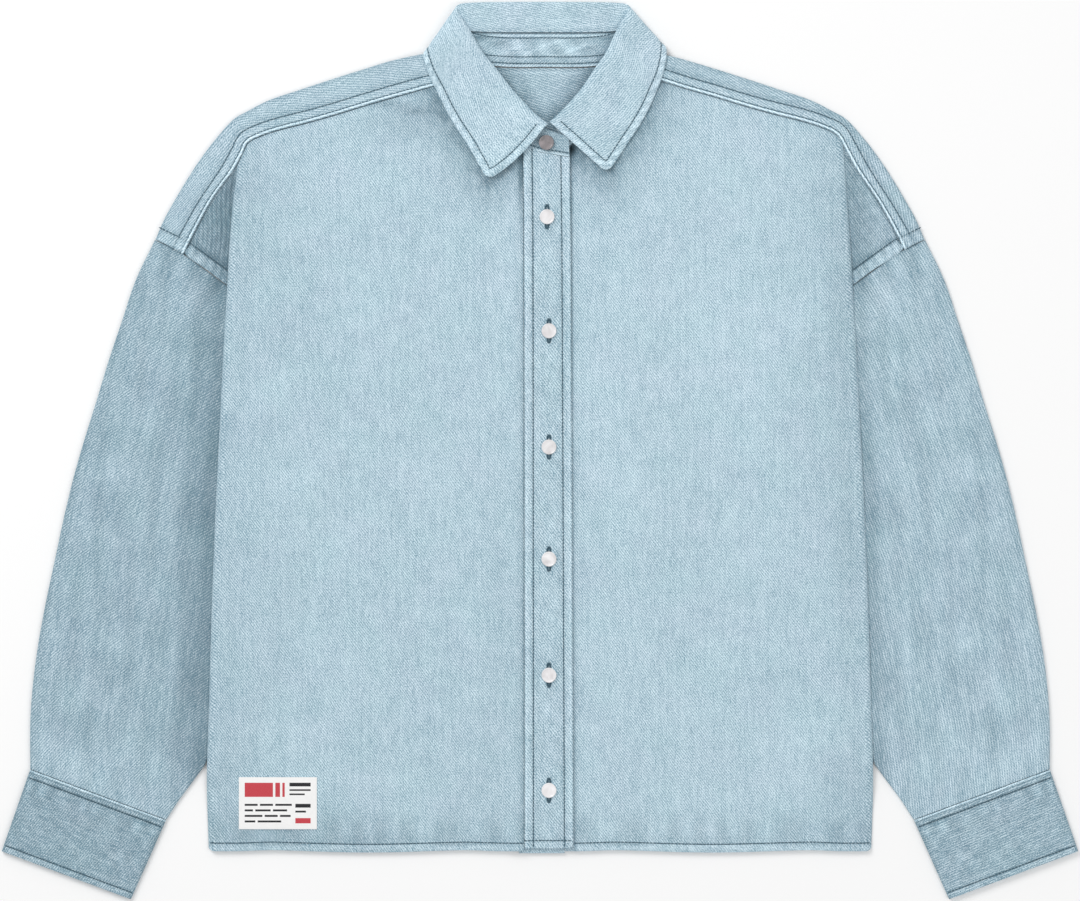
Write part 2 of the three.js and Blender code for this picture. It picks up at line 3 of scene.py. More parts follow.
import bpy
import numpy as np
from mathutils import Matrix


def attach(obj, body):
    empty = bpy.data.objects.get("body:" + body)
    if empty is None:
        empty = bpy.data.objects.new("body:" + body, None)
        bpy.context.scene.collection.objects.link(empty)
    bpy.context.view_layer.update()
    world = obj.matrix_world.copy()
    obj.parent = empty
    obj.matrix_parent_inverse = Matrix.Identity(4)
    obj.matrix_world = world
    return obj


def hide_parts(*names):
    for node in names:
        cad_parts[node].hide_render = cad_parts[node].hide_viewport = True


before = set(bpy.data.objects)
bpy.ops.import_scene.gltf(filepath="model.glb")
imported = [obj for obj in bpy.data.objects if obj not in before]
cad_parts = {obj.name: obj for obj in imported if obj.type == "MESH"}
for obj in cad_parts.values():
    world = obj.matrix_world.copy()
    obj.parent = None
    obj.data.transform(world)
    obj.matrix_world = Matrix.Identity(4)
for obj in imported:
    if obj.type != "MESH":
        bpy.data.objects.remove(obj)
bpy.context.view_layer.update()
print("frame loaded")

# A washed denim shirt, buttoned and laid flat. Sizes in the tables are in millimetres, +X to the
# wearer's left, +Y to the collar, +Z up. One half is tabled, outwards from the middle line.
mm = 0.001

cloth = 1.2
layerGap = 0.5
layer = cloth + layerGap
seamGap = 0.4
bandCloth = 1.8
cuffCloth = 1.6
collarCloth = 1.6
standCloth = 1.4

# columns: height y, distance x from the middle
sideFoldRows = [
    (-340.4, 281.6), (-280, 283.1), (-212, 281.3), (-127, 278.8), (-42, 275.4), (26, 272),
    (94, 268.6), (136, 266.1), (170, 264.3), (213, 260.9), (254, 257.2),
]
# armhole seam down to the underarm, then the sleeve's inner edge; columns: y, x
sleeveInnerRows = [
    (-313.6, 317.5), (-297, 306.8), (-280, 294.1), (-267, 284.5), (-233, 270.3), (-127, 236.3),
    (-40, 207.5), (0, 197), (34, 202.3), (64, 211.7), (94, 227.8), (120, 246.5), (140, 266.1),
    (156, 288.1), (168.7, 306), (178.9, 327.2),
]
sleeveOuterRows = [
    (-270.7, 433.1), (-229, 433.1), (-195, 430.5), (-161, 425.8), (-127, 419.5), (-93, 412.2),
    (-59, 405), (-25, 396.9), (9, 387.2), (43, 376.6), (77, 366.3), (111, 354.9), (145, 343.4),
    (178.9, 327.2),
]
underarm = (197, 0)
shoulderPoint = (327.2, 178.9)
cuffTop = ((433.1, -270.7), (317.5, -313.6))
cuffBottom = ((457.3, -340.4), (347.6, -381.2))
# columns: shoulder fold x, y, front yoke seam x, y
shoulderRows = [
    (85.5, 340.4, 76, 317), (123.2, 331.9, 118, 304.8), (150, 323.9, 148, 296.5),
    (178.5, 314.9, 176, 288.2), (204, 306.5, 200, 281.8), (229.5, 297.9, 221, 276.8),
    (248, 288.6, 238, 271.6), (260.9, 280.9, 250.5, 265), (276.2, 263.9, 256.7, 253.7),
    (289, 246.9, 265.2, 238.4), (300.1, 229.9, 273.5, 226.8), (310.2, 212.9, 284, 211.4),
    (319.6, 195.9, 295.5, 190.5), (325.6, 181.9, 305.6, 170.4),
]
backSeamRows = [(0, 246.9), (127.5, 246.9), (204, 241.8), (242.2, 217.2), (270.3, 178.9), (286, 157)]
# half of the collar ring; columns: neck seam x y z, stand top x y z, crease x y z, free edge
# x y z, and the side of the stand that the fall lies on
collarRows = [
    (0, 326, 2.7, 0, 354, 3.6, 0, 380.4, 3.4, 0, 337, 0.8, 1),
    (30, 326, 2.7, 30, 354, 3.6, 32, 380.3, 3.4, 36, 337, 0.8, 1),
    (56, 328.5, 2.7, 54, 354.5, 3.6, 55.5, 379.9, 3.4, 70, 337.5, 0.8, 1),
    (72, 333.5, 2.8, 65, 355.5, 3.8, 67, 379.2, 3.5, 92, 338.3, 0.8, 0.9),
    (79.5, 338, 3.0, 70.5, 357, 4.0, 71.6, 377.8, 3.9, 100.4, 340.6, 1.0, 0.5),
    (82, 339.8, 3.4, 72.5, 357, 4.7, 73.2, 375.6, 5.2, 103, 341.6, 3.0, 0),
    (82, 337.5, 3.9, 71.5, 354, 5.3, 72.4, 372.2, 6.8, 103.6, 338.0, 5.6, -0.5),
    (81, 332, 4.2, 68.5, 348.5, 5.7, 69.5, 367, 8.0, 102.3, 329, 6.2, -0.9),
    (77.5, 323.5, 3.6, 62.5, 340.5, 5.8, 63.5, 357.5, 8.2, 98.4, 316.5, 4.8, -1),
    (71, 312.5, 2.6, 52.5, 328.5, 5.6, 53, 338, 8.0, 92.2, 303, 4.2, -1),
    (62, 301, 2.2, 43, 316, 5.2, 42, 323.5, 7.6, 86, 289.5, 4.1, -1),
    (51, 288.5, 2.2, 32.5, 303.5, 4.9, 30.5, 307.5, 7.3, 78, 275.5, 4.1, -1),
    (39, 276.5, 2.2, 22, 292.5, 4.6, 19.5, 295, 7.2, 69, 262, 4.2, -1),
    (27.5, 266.5, 2.2, 13, 283.5, 4.4, 10.5, 285.5, 7.3, 60.5, 249, 4.8, -1),
    (17.5, 257.8, 2.2, 5, 277.5, 4.2, 2.5, 278.5, 7.8, 51, 235.5, 6.0, -1),
]
overRaise = {12: 0.4, 13: 1.0, 14: 1.7}      # the wearer's right end lies over the left one
# buttoned tab of the stand; columns: neck seam x y z, top x y z
tabRows = [(5, 253.4, 4.6, -0.5, 273, 6.2), (-8, 251.2, 4.8, -9, 269.5, 6.1),
           (-19, 249.4, 4.8, -18.4, 267.5, 5.9)]
placketRows = [(-337.9, -13.2, 28.4), (170, -13.6, 26.2), (253.2, -14.4, 25.3)]
wedgeRows = [
    (251, 141, 266.6, 141), (252, 152, 281.5, 152.4), (252, 166, 304.4, 168.3),
    (252, 178, 300.6, 177.6), (251, 198, 290.6, 197.6), (250, 217, 278.7, 217),
    (249, 237, 264.2, 237.4), (247, 250, 256, 251.4),
]


# Sums on the tables

def ease(value, low, high):
    t = np.clip((np.asarray(value, float) - low) / (high - low), 0, 1)
    return t * t * (3 - 2 * t)


def bell(distance, width):
    return np.exp(-(np.asarray(distance, float) / width) ** 2)


def curveAt(rows, place, column=1):
    table = np.array([(row[0], row[column]) for row in rows], float)
    x, y = table[:, 0], table[:, 1]
    held = np.clip(np.asarray(place, float), x[0], x[-1])
    k = np.clip(np.searchsorted(x, held, side="left") - 1, 0, len(x) - 2)
    before, after = np.maximum(k - 1, 0), np.minimum(k + 2, len(x) - 1)
    width = x[k + 1] - x[k]
    slopeIn = (y[k + 1] - y[before]) / (x[k + 1] - x[before])
    slopeOut = (y[after] - y[k]) / (x[after] - x[k])
    t = (held - x[k]) / width
    rise = t * t * (3 - 2 * t)
    bend = slopeIn * t * (1 - t) ** 2 - slopeOut * t * t * (1 - t)
    return y[k] + (y[k + 1] - y[k]) * rise + width * bend


def lineAt(rows, place, column=1):
    return np.interp(place, [row[0] for row in rows], [row[column] for row in rows])


def sleeveInner(y):
    return lineAt(sleeveInnerRows, y)


def sleeveOuter(y):
    return curveAt(sleeveOuterRows, y)


def sideFold(y):
    return curveAt(sideFoldRows, y)


def backSeam(x):
    return lineAt(backSeamRows, np.abs(x))


def collarShift(y):                     # the collar lies a little to the wearer's left
    return 6 - 3.5 * ease(y, 290, 370)


rampWidth = 34
rampEnd = 6


def sleeveLift(x, y):                   # the hidden sleeve edge lifts the cloth on it
    depth = np.abs(x) - sleeveInner(np.minimum(y, 140)) + rampWidth + rampEnd
    return 2 * layer * (1 - ease(y, 140, 250)) * ease(depth, 0, rampWidth)


def collarLift(x, y):                   # the back of the collar lifts the yoke on it
    return 2 * ease(y, 309, 333) * (1 - ease(np.abs(x - collarShift(y)), 107, 130))


def frontLevel(x, y):                   # lower face of the fronts
    return layer + sleeveLift(x, y) + collarLift(x, y)


def ripple(x, y, size, seed):           # soft unevenness, about -1 to 1
    random = np.random.default_rng(seed)
    total = 0
    for turn in random.uniform(0, math.pi, 9):
        wave = 2 * math.pi / (size * random.uniform(0.7, 1.5))
        along = x * math.cos(turn) + y * math.sin(turn)
        total = total + np.sin(wave * along + random.uniform(0, 6.3))
    return total / 4.5


def creases(x, y, rows):                # rows: start x y, end x y, half width, height
    total = np.zeros(np.broadcast(x, y).shape)
    for x0, y0, x1, y1, width, height in rows:
        dx, dy = x1 - x0, y1 - y0
        t = np.clip(((x - x0) * dx + (y - y0) * dy) / (dx * dx + dy * dy), 0, 1)
        away = np.hypot(x - x0 - t * dx, y - y0 - t * dy)
        total += height * np.sin(math.pi * (0.06 + 0.88 * t)) * bell(away, width)
    return total


def through(grid, places):              # smooth curve through the rows of a grid
    last = len(grid) - 1
    k = np.clip(places.astype(int), 0, last - 1)
    t = (places - k).reshape((-1,) + (1,) * (grid.ndim - 1))
    a, b = grid[np.maximum(k - 1, 0)], grid[k]
    c, d = grid[k + 1], grid[np.minimum(k + 2, last)]
    return b + 0.5 * t * (c - a + t * (2 * a - 5 * b + 4 * c - d + t * (3 * (b - c) + d - a)))


def spaced(start, end, pitch, near=(), fine=0.8, reach=3):
    # places from start to end, close together round the ones named in near
    places = list(np.linspace(start, end, max(2, int(abs(end - start) / pitch) + 1)))
    for spot in near:
        places += list(np.arange(spot - reach, spot + reach + 0.01, fine))
    places = sorted(p for p in places if min(start, end) <= p <= max(start, end))
    kept = [places[0]]
    for p in places[1:-1]:
        if p - kept[-1] > 0.45 * fine:
            kept.append(p)
    if places[-1] - kept[-1] < 0.45 * fine and len(kept) > 1:
        kept.pop()
    kept.append(places[-1])
    return np.array(kept)


# Meshes

def quads(at, far, ring):
    def four(*corners):
        return np.stack(corners, -1).reshape(-1, 4)
    faces = [
        four(at[:-1, :-1], at[1:, :-1], at[1:, 1:], at[:-1, 1:]),
        four(at[:-1, :-1], at[:-1, 1:], at[1:, 1:], at[1:, :-1]) + far,
        four(at[0, :-1], at[0, 1:], at[0, 1:] + far, at[0, :-1] + far),
        four(at[-1, :-1], at[-1, :-1] + far, at[-1, 1:] + far, at[-1, 1:]),
    ]
    if not ring:
        faces.append(four(at[:-1, 0], at[:-1, 0] + far, at[1:, 0] + far, at[1:, 0]))
        faces.append(four(at[:-1, -1], at[1:, -1], at[1:, -1] + far, at[:-1, -1] + far))
    return np.concatenate(faces)


def wall(outer, inner, uv, ring=False, **fields):
    # a closed wall between two grids; a field is one value for each point of a grid
    rows, columns = outer.shape[:2]
    count = rows * columns
    at = np.arange(count).reshape(rows, columns)
    corner = np.arange(rows * uv.shape[1]).reshape(rows, -1)
    if ring:
        at = np.hstack([at, at[:, :1]])
    points = np.concatenate([outer.reshape(-1, 3), inner.reshape(-1, 3)])
    faces = quads(at, count, ring)
    corners = quads(corner, corner.size, ring)
    a, b, c, d = (points[faces[:, k]] for k in range(4))
    volume = np.sum(a * np.cross(b, c)) + np.sum(a * np.cross(c, d))
    if volume < 0:
        faces, corners = faces[:, ::-1], corners[:, ::-1]
    uv = np.concatenate([uv.reshape(-1, 2)] * 2)[corners.ravel()]
    full = {key: np.broadcast_to(value, (rows, columns)).ravel() for key, value in fields.items()}
    return points, faces, uv, {key: np.concatenate([value, value]) for key, value in full.items()}


def thickened(middle, thickness, relief=0, reliefUnder=0):
    # moved out along the normals to both sides; relief is added on the first side
    def neighbours(axis):
        after = np.concatenate([middle, np.take(middle, [-1], axis)], axis)
        before = np.concatenate([np.take(middle, [0], axis), middle], axis)
        return (after[1:] - before[:-1]) if axis == 0 else (after[:, 1:] - before[:, :-1])
    normal = np.cross(neighbours(0), neighbours(1))
    normal /= np.linalg.norm(normal, axis=2, keepdims=True)
    up = np.broadcast_to(thickness / 2 + np.asarray(relief, float), middle.shape[:2])[..., None]
    down = np.broadcast_to(thickness / 2 + np.asarray(reliefUnder, float), middle.shape[:2])[..., None]
    return middle + normal * up, middle - normal * down


def addPiece(node, parts, material, sharp=50):
    # parts: walls, which may be several in one piece that stands for a node
    name = "sewn_" + node
    points, faces, uvs, fields, start = [], [], [], {}, 0
    for partPoints, partFaces, partUv, partFields in parts:
        points.append(partPoints)
        faces.append(partFaces + start)
        uvs.append(partUv)
        start += len(partPoints)
        for key in ("tone", "rope"):
            fields.setdefault(key, []).append(partFields.get(key, np.full(len(partPoints), key == "tone")))
    points, faces, uvs = np.concatenate(points), np.concatenate(faces), np.concatenate(uvs)
    mesh = bpy.data.meshes.new(name)
    mesh.vertices.add(len(points))
    mesh.vertices.foreach_set("co", (points * mm).astype(np.float32).ravel())
    mesh.loops.add(faces.size)
    mesh.loops.foreach_set("vertex_index", faces.astype(np.int32).ravel())
    mesh.polygons.add(len(faces))
    mesh.polygons.foreach_set("loop_start", np.arange(0, faces.size, 4, dtype=np.int32))
    mesh.update(calc_edges=True)
    layerUv = mesh.uv_layers.new(name="cloth")
    layerUv.data.foreach_set("uv", (uvs * mm).astype(np.float32).ravel())
    for key, values in fields.items():
        attribute = mesh.attributes.new(key, "FLOAT", "POINT")
        attribute.data.foreach_set("value", np.concatenate(values).astype(np.float32))
    mesh.shade_smooth()
    mesh.set_sharp_from_angle(angle=math.radians(sharp))
    mesh.materials.append(material)
    piece = bpy.data.objects.new(name, mesh)
    bpy.context.scene.collection.objects.link(piece)
    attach(piece, "root")
    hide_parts(node)
    print(name, len(faces) * 2, "triangles")
    return piece


# Materials

class Socket:                           # an output; sums on it add Math nodes
    def __init__(self, nodes, socket):
        self.nodes, self.socket = nodes, socket

    def sum(self, operation, other, swapped=False):
        pair = {0: other, 1: self} if swapped else {0: self, 1: other}
        return self.nodes.add("ShaderNodeMath", {"operation": operation}, pair)

    def __add__(self, other):
        return self.sum("ADD", other)

    def __sub__(self, other):
        return self.sum("SUBTRACT", other)

    def __rsub__(self, other):
        return self.sum("SUBTRACT", other, swapped=True)

    def __mul__(self, other):
        return self.sum("MULTIPLY", other)

    def __truediv__(self, other):
        return self.sum("DIVIDE", other)

    __radd__ = __add__
    __rmul__ = __mul__


class Nodes:
    def __init__(self, tree):
        self.tree = tree

    def add(self, kind, settings=None, inputs=None, output=0):
        node = self.tree.nodes.new(kind)
        for key, value in (settings or {}).items():
            setattr(node, key, value)
        for key, value in (inputs or {}).items():
            if isinstance(value, Socket):
                self.tree.links.new(value.socket, node.inputs[key])
            else:
                node.inputs[key].default_value = value
        return Socket(self, node.outputs[output])

    def sine(self, value):
        return self.add("ShaderNodeMath", {"operation": "SINE"}, {0: value})

    def noise(self, vector, scale, detail=2, roughness=0.5):
        inputs = {"Vector": vector, "Scale": scale, "Detail": detail, "Roughness": roughness}
        return self.add("ShaderNodeTexNoise", {"noise_dimensions": "2D"}, inputs) - 0.5

    def mapped(self, vector, scale, turn=0):
        inputs = {"Vector": vector, "Scale": (scale[0], scale[1], 1), "Rotation": (0, 0, turn)}
        return self.add("ShaderNodeMapping", None, inputs)

    def blend(self, factor, first, second):
        inputs = {0: factor, 6: (*first, 1) if isinstance(first, tuple) else first}
        inputs[7] = (*second, 1) if isinstance(second, tuple) else second
        return self.add("ShaderNodeMix", {"data_type": "RGBA"}, inputs, 2)


def newMaterial(name, **fixed):
    material = bpy.data.materials.new(name)
    material.use_nodes = True
    shader = material.node_tree.nodes["Principled BSDF"]
    for key, value in fixed.items():
        shader.inputs[key.replace("_", " ")].default_value = value
    return material, Nodes(material.node_tree), shader


def feed(nodes, shader, key, value):
    nodes.tree.links.new(value.socket, shader.inputs[key])


denimYarn = {
    "dark": (0.190, 0.328, 0.415),      # indigo left in the warp
    "light": (0.745, 0.905, 0.985),     # bleached weft
    "rough": 0.92,
    "cross": 1.5,                       # mm across the lines of the weft
    "bump": 0.00022,                    # metres
}


def denim(name, fadeAndShade, pitch, lean, bold, grain, streak, upright):
    # pitch in mm across the twill lines, lean their turn from upright in radians; the first number below 0
    # darkens the whole piece, partly its own fading and partly painted shade; bold, grain and streak are the
    # strengths of the twill, the short yarn flecks and the long streaks, and upright tells which way the warp
    # runs
    material, nodes, shader = newMaterial(name, Roughness=denimYarn["rough"], Specular_IOR_Level=0.2)
    cut = nodes.add("ShaderNodeUVMap", {"uv_map": "cloth"})
    parts = nodes.add("ShaderNodeSeparateXYZ", None, {0: cut})
    across, down = parts, Socket(nodes, parts.socket.node.outputs[1])
    drift = nodes.noise(cut, 75, 3)
    line = 2 * math.pi / (pitch * mm)
    phase = across * (line * math.cos(lean)) + down * (line * math.sin(lean)) + drift * 5
    twill = nodes.sine(phase)
    cross = 2 * math.pi / (denimYarn["cross"] * mm)
    weft = nodes.sine(across * (cross * 0.8) - down * (cross * 0.6) + drift * 3)
    slub = nodes.noise(nodes.mapped(cut, (820, 120) if upright else (120, 820)), 1, 3, 0.6)
    long = nodes.noise(nodes.mapped(cut, (260, 26) if upright else (26, 260)), 1, 3)
    fleck = nodes.noise(cut, 900, 2, 0.7)
    cloud = nodes.noise(cut, 14, 4, 0.6)
    patch = nodes.noise(cut, 70, 3, 0.6)
    fade = nodes.noise(cut, 24, 2)
    tone = nodes.add("ShaderNodeAttribute", {"attribute_name": "tone"}, None, 2)
    rope = nodes.add("ShaderNodeAttribute", {"attribute_name": "rope"}, None, 2)
    knots = nodes.noise(cut, 260, 1)
    ropePhase = across * (2 * math.pi / (4.4 * mm)) + down * (2 * math.pi / (6.0 * mm)) + knots * 11
    roping = (nodes.sine(ropePhase) + knots * 2) * rope
    weave = twill * (slub * (0.9 * bold) + 0.25 * bold) + weft * 0.12 + (slub * 0.50 + fleck * 1.45) * grain
    weave = weave + long * (0.30 * streak) + cloud * 0.13 + patch * 0.24
    depth = tone + (fadeAndShade - 1)
    factor = weave + roping * 0.11 + depth * 0.6 + 0.49
    limited = nodes.add("ShaderNodeClamp", None, {0: factor, 1: 0, 2: 1})
    yarn = nodes.blend(limited, denimYarn["dark"], denimYarn["light"])
    cast = nodes.blend(0.5 + fade * 2.2, (0.982, 1.0, 0.994), (1.018, 0.998, 1.008))
    dyed = nodes.add("ShaderNodeVectorMath", {"operation": "MULTIPLY"}, {0: yarn, 1: cast})
    shade = depth * 0.6 + 1
    shaded = nodes.add("ShaderNodeVectorMath", {"operation": "SCALE"}, {0: dyed, "Scale": shade})
    feed(nodes, shader, "Base Color", shaded)
    height = twill * (0.35 * bold) + weft * 0.1 + slub * 0.7 + fleck * 1.2 + roping * 0.9
    inputs = {"Strength": 0.8, "Distance": denimYarn["bump"], "Height": height}
    feed(nodes, shader, "Normal", nodes.add("ShaderNodeBump", None, inputs))
    return material


def threadMaterial():
    material, nodes, shader = newMaterial("thread", Roughness=0.6)
    place = nodes.add("ShaderNodeTexCoord", None, None, 3)
    ply = nodes.add("ShaderNodeTexNoise", None, {"Vector": place, "Scale": 900, "Detail": 1})
    feed(nodes, shader, "Base Color", nodes.blend(ply, (0.018, 0.060, 0.090), (0.060, 0.130, 0.175)))
    return material


def pearlMaterial(name, dark, light):
    material, nodes, shader = newMaterial(name, Roughness=0.3, Coat_Weight=0.35)
    place = nodes.add("ShaderNodeTexCoord", None, None, 3)
    inputs = {"Vector": place, "Scale": 70, "Detail": 3, "Distortion": 1.4}
    sheen = nodes.add("ShaderNodeTexNoise", None, inputs)
    steep = nodes.add("ShaderNodeMapRange", None, {0: sheen, 1: 0.3, 2: 0.7})
    feed(nodes, shader, "Base Color", nodes.blend(steep, dark, light))
    feed(nodes, shader, "Roughness", 0.22 + 0.2 * sheen)
    return material


print("materials ready")


# Seams in plan, for one half

armholePath = np.array([(266.1, 140), (288.1, 156), (306, 168.7), (327.2, 178.9)])
seamMoves = {-1: (-2.6, -4.4, -4.2), 1: (4.4, 3.2, 3.3)}     # at stations 0, 6 and 13, to the fold


def yokeRows(side):                     # the two halves of the front yoke seam differ a little
    table = np.array([*shoulderRows, (327, 179.4, 306.2, 169.3)], float)
    inward = table[:, :2] - table[:, 2:]
    inward /= np.linalg.norm(inward, axis=1, keepdims=True)
    table[:, 2:] += inward * np.interp(np.arange(len(table)), (0, 6, 13), seamMoves[side])[:, None]
    return table


yokeSeam = {side: yokeRows(side)[:, 2:] for side in (-1, 1)}


def awayFrom(x, y, path):               # distance to a line of points
    nearest = np.full(np.broadcast(x, y).shape, 1e6)
    for (x0, y0), (x1, y1) in zip(path[:-1], path[1:]):
        dx, dy = x1 - x0, y1 - y0
        t = np.clip(((x - x0) * dx + (y - y0) * dy) / (dx * dx + dy * dy), 0, 1)
        nearest = np.minimum(nearest, np.hypot(x - x0 - t * dx, y - y0 - t * dy))
    return nearest


def seamBand(away, width, height):      # folded cloth along a seam, stitched near its far edge
    body = ease(away, 0.0, 1.4) * (1 - ease(away, width - 0.6, width + 1.6))
    groove = bell(away - (width - 1.6), 0.9)
    return height * body - 0.6 * height * groove


def seamTone(away, width):              # worn light on the fold; painted shade in the stitch groove and just past the band's edge
    worn = 0.08 * bell(away - 3.2, 2.4)
    return worn - 0.30 * bell(away - (width - 1.4), 0.9) - 0.14 * bell(away - width - 1.2, 1.6)


def foldedEdge(away):                   # thin worn light edge along a seam, with a painted shadow line behind it
    return 0.66 * bell(away - 1.5, 0.60) - 0.40 * bell(away - 3.1, 0.7) - 0.30 * bell(away, 0.6)


stitchRuns = {}                         # piece name: list of stitch lines


def stitched(name, points, pitch=3.1):
    stitchRuns.setdefault(name, []).append((np.asarray(points, float), pitch))


def alongPath(points, pitch=1.5):       # points of a path at an even pitch
    points = np.asarray(points, float)
    run = np.concatenate([[0], np.cumsum(np.linalg.norm(np.diff(points, axis=0), axis=1))])
    places = np.linspace(0, run[-1], max(2, int(run[-1] / pitch) + 1))
    return np.stack([np.interp(places, run, points[:, k]) for k in range(points.shape[1])], -1)


# Fronts

front = {
    "pitch": 2.9, "hem": 8, "hemRise": 0.8, "roll": 6.0, "bottom": -340.4, "even": 198,
    "hemStitch": 6.9, "sag": 1.6,
}
bandEdges = {"left": -17.8, "right": 20.9, "bottom": -342.1, "top": 247}
# rows: start x y, end x y, half width, height; x outwards from the middle
frontCreases = {
    -1: [
        (150, 20, 235, -60, 9, 0.5), (120, -30, 205, -120, 10, 0.45), (190, 90, 255, 10, 10, 0.45),
        (60, -250, 100, -330, 12, 0.35), (22, 180, 60, 60, 16, 0.35), (215, -150, 262, -250, 12, 0.4),
        (35, -60, 60, -200, 14, 0.3), (180, -210, 150, -320, 15, 0.35), (90, 215, 190, 240, 12, 0.35),
        (110, 150, 170, 90, 16, 0.3), (245, 60, 262, -90, 9, 0.5), (30, 230, 95, 170, 10, 0.4),
    ],
    1: [
        (60, 235, 150, 262, 11, 0.35), (150, 150, 235, 90, 14, 0.35), (60, 40, 80, -140, 15, 0.35),
        (120, -100, 150, -240, 14, 0.3), (210, -30, 250, -150, 12, 0.4), (40, -230, 60, -335, 12, 0.35),
        (230, -220, 205, -325, 13, 0.35), (110, 120, 140, 10, 16, 0.25), (245, 110, 262, 0, 9, 0.4),
    ],
}


# rows: centre x y, half width, half height, brightness; broad rows are fading of the cloth, narrow
# rows are painted shadow beside the placket and at the stand's tab end, and painted crease shade under the yoke
frontFadesAndShadows = {
    -1: [
        (262, 220, 24, 60, -0.06), (225, 150, 50, 90, -0.04), (255, -150, 30, 190, -0.045),
        (100, 170, 70, 60, 0.02), (130, 305, 60, 18, -0.05), (160, -335, 60, 30, -0.08),
        (30, -200, 26, 160, -0.035), (90, -20, 60, 120, 0.012), (128, 294, 16, 2.6, -0.26),
        (104, 288, 14, 2.8, -0.30), (118, 300, 20, 2.4, 0.10), (120, 276, 26, 12, -0.10),
        (16.0, 236, 2.2, 28, -0.55), (22, 240, 6, 12, -0.10),
        (215, -322, 40, 14, -0.10), (258, -318, 16, 18, -0.10),
    ],
    1: [
        (262, 150, 20, 120, -0.11), (262, -80, 16, 90, -0.08), (150, 120, 60, 110, 0.025),
        (262, -300, 26, 50, -0.09), (70, -290, 60, 50, 0.0), (235, 40, 26, 200, -0.035),
        (60, 120, 40, 120, 0.015), (27.4, 256, 3.6, 9, -1.0), (33, 240, 6, 14, -0.10),
    ],
}


def placketEdge(column, y):
    return curveAt(placketRows, y, column)


neckPath = np.array([row[:2] for row in collarRows[7:]][::-1])


def frontTop(side, x):
    shift = side * collarShift(neckPath[:, 1])
    neck = curveAt(np.stack([neckPath[:, 0] + shift, neckPath[:, 1]], -1), x)
    seam = curveAt(yokeSeam[side][:9], x)
    return np.minimum(neck - 1.6, seam - 2 * seamGap)


def overLift(side, x):
    return layer * (1 - ease(x, 20, 32)) if side < 0 else 0 * x


def hemEdge(x):                         # the hem runs a little uneven and its corner is round
    corner = np.clip((x - 276.5) / 5.1, 0, 1)
    wave = 1.1 * np.sin(x / 31.0) * ease(x, 30, 70) * (1 - ease(x, 225, 260))
    return wave + 4.2 * (1 - np.sqrt(1 - 0.98 * corner ** 2))


leafPath = np.array([row[9:11] for row in collarRows[6:]] + [collarRows[-1][6:8]])


def leafShade(side, x, y):              # painted shadow of the collar leaves on the front, darkest just outside their edges
    path = leafPath + [[side * 6, 0]]
    path[:5, 0] -= side * 2
    if side < 0:
        path[-2] += [0, -5]
    close = awayFrom(x, y + 2.5, path)
    blotch = 1 + 0.35 * ripple(x, y, 13, 37)
    return (-0.26 * bell(close, 7) - 0.19 * bell(close, 23)) * blotch


def frontRelief(side, x, y):            # folds of the whole cloth, never below its rest
    seed = 11 if side < 0 else 12
    soft = front["sag"] * (0.32 + 0.16 * ripple(x, y, 150, seed) + 0.10 * ripple(x, y, 60, seed + 5))
    rise = soft + creases(x, y, frontCreases[side])
    if side < 0:
        rise = rise + creases(x, y, [(140, 298, 88, 287, 3.0, 0.7)])
    overHem = ease(y, -331, -324) * (1 - ease(y, -315, -285 + 12 * np.sin(x / 9.0)))
    rise += 0.28 * overHem * (1 + np.sin(x / 1.9 + 1.5 * np.sin(x / 17.0)))
    seam = awayFrom(x, y, yokeSeam[side])
    rise += 0.30 * bell(seam - 10, 8) * (1 + np.sin(x / 3.1 + 1.4 * np.sin(x / 13.0)))
    atFold = np.abs(x) - sideFold(np.minimum(y, 254))
    held = ease(-atFold, 4, 30) * ease(y - front["bottom"], 0, 14) * ease(x, 22, 60)
    return np.maximum(rise, 0) * held


def frontDetail(side, x, y):            # the outer face alone
    up = y - front["bottom"]
    hem = front["hemRise"] * (1 - ease(up, front["hem"] - 0.8, front["hem"] + 0.9))
    hem = hem - 0.45 * bell(up - front["hemStitch"], 0.8)
    covered = (side > 0) * (1 - ease(x, 26, 31))
    return hem * (1 - covered) - 0.25 * bell(awayFrom(x, y, yokeSeam[side]), 2.2)


def frontSurface(side, x, y):
    return frontLevel(x, y) + overLift(side, x) + frontRelief(side, x, y) + cloth + frontDetail(side, x, y)


def frontTone(side, x, y):
    up = y - front["bottom"]
    tone = 1 - 0.24 * bell(up - front["hemStitch"] + 0.3, 0.9) + 0.07 * bell(up - 3.2, 2.0)
    tone = tone - 0.10 * bell(up - 0.2, 0.8) - 0.08 * bell(up - front["hem"] - 2, 2.5)
    # painted shadow along the placket's edge on this front, and painted shade towards the side fold
    hidden = -placketEdge(1, y) if side < 0 else placketEdge(2, y)
    tone = tone - 0.28 * bell(x - hidden - 0.6, 1.1) - 0.06 * bell(x - hidden - 3, 3)
    edge = sideFold(np.minimum(y, 254)) - x
    tone = tone - 0.10 * bell(edge, 4.5) - 0.035 * bell(edge - 14, 9)
    tone = tone - 0.16 * bell(awayFrom(x, y, yokeSeam[side]), 1.6)
    tone = tone + 0.05 * creases(x, y, frontCreases[side]) + 0.012 * ripple(x, y, 90, 31)
    # broad fades of the cloth, and the painted shadows and crease shade of the table
    for centreX, centreY, wide, high, amount in frontFadesAndShadows[side]:
        tone = tone + amount * np.exp(-((x - centreX) / wide) ** 2 - ((y - centreY) / high) ** 2)
    tone = tone + leafShade(side, x, y)
    tone = tone + 0.08 * np.sin(x / 4.4 + 2.4 * np.sin(x / 23.0)) * bell(up - 17, 10)
    return tone - 0.06 * bell(up - 20, 12)


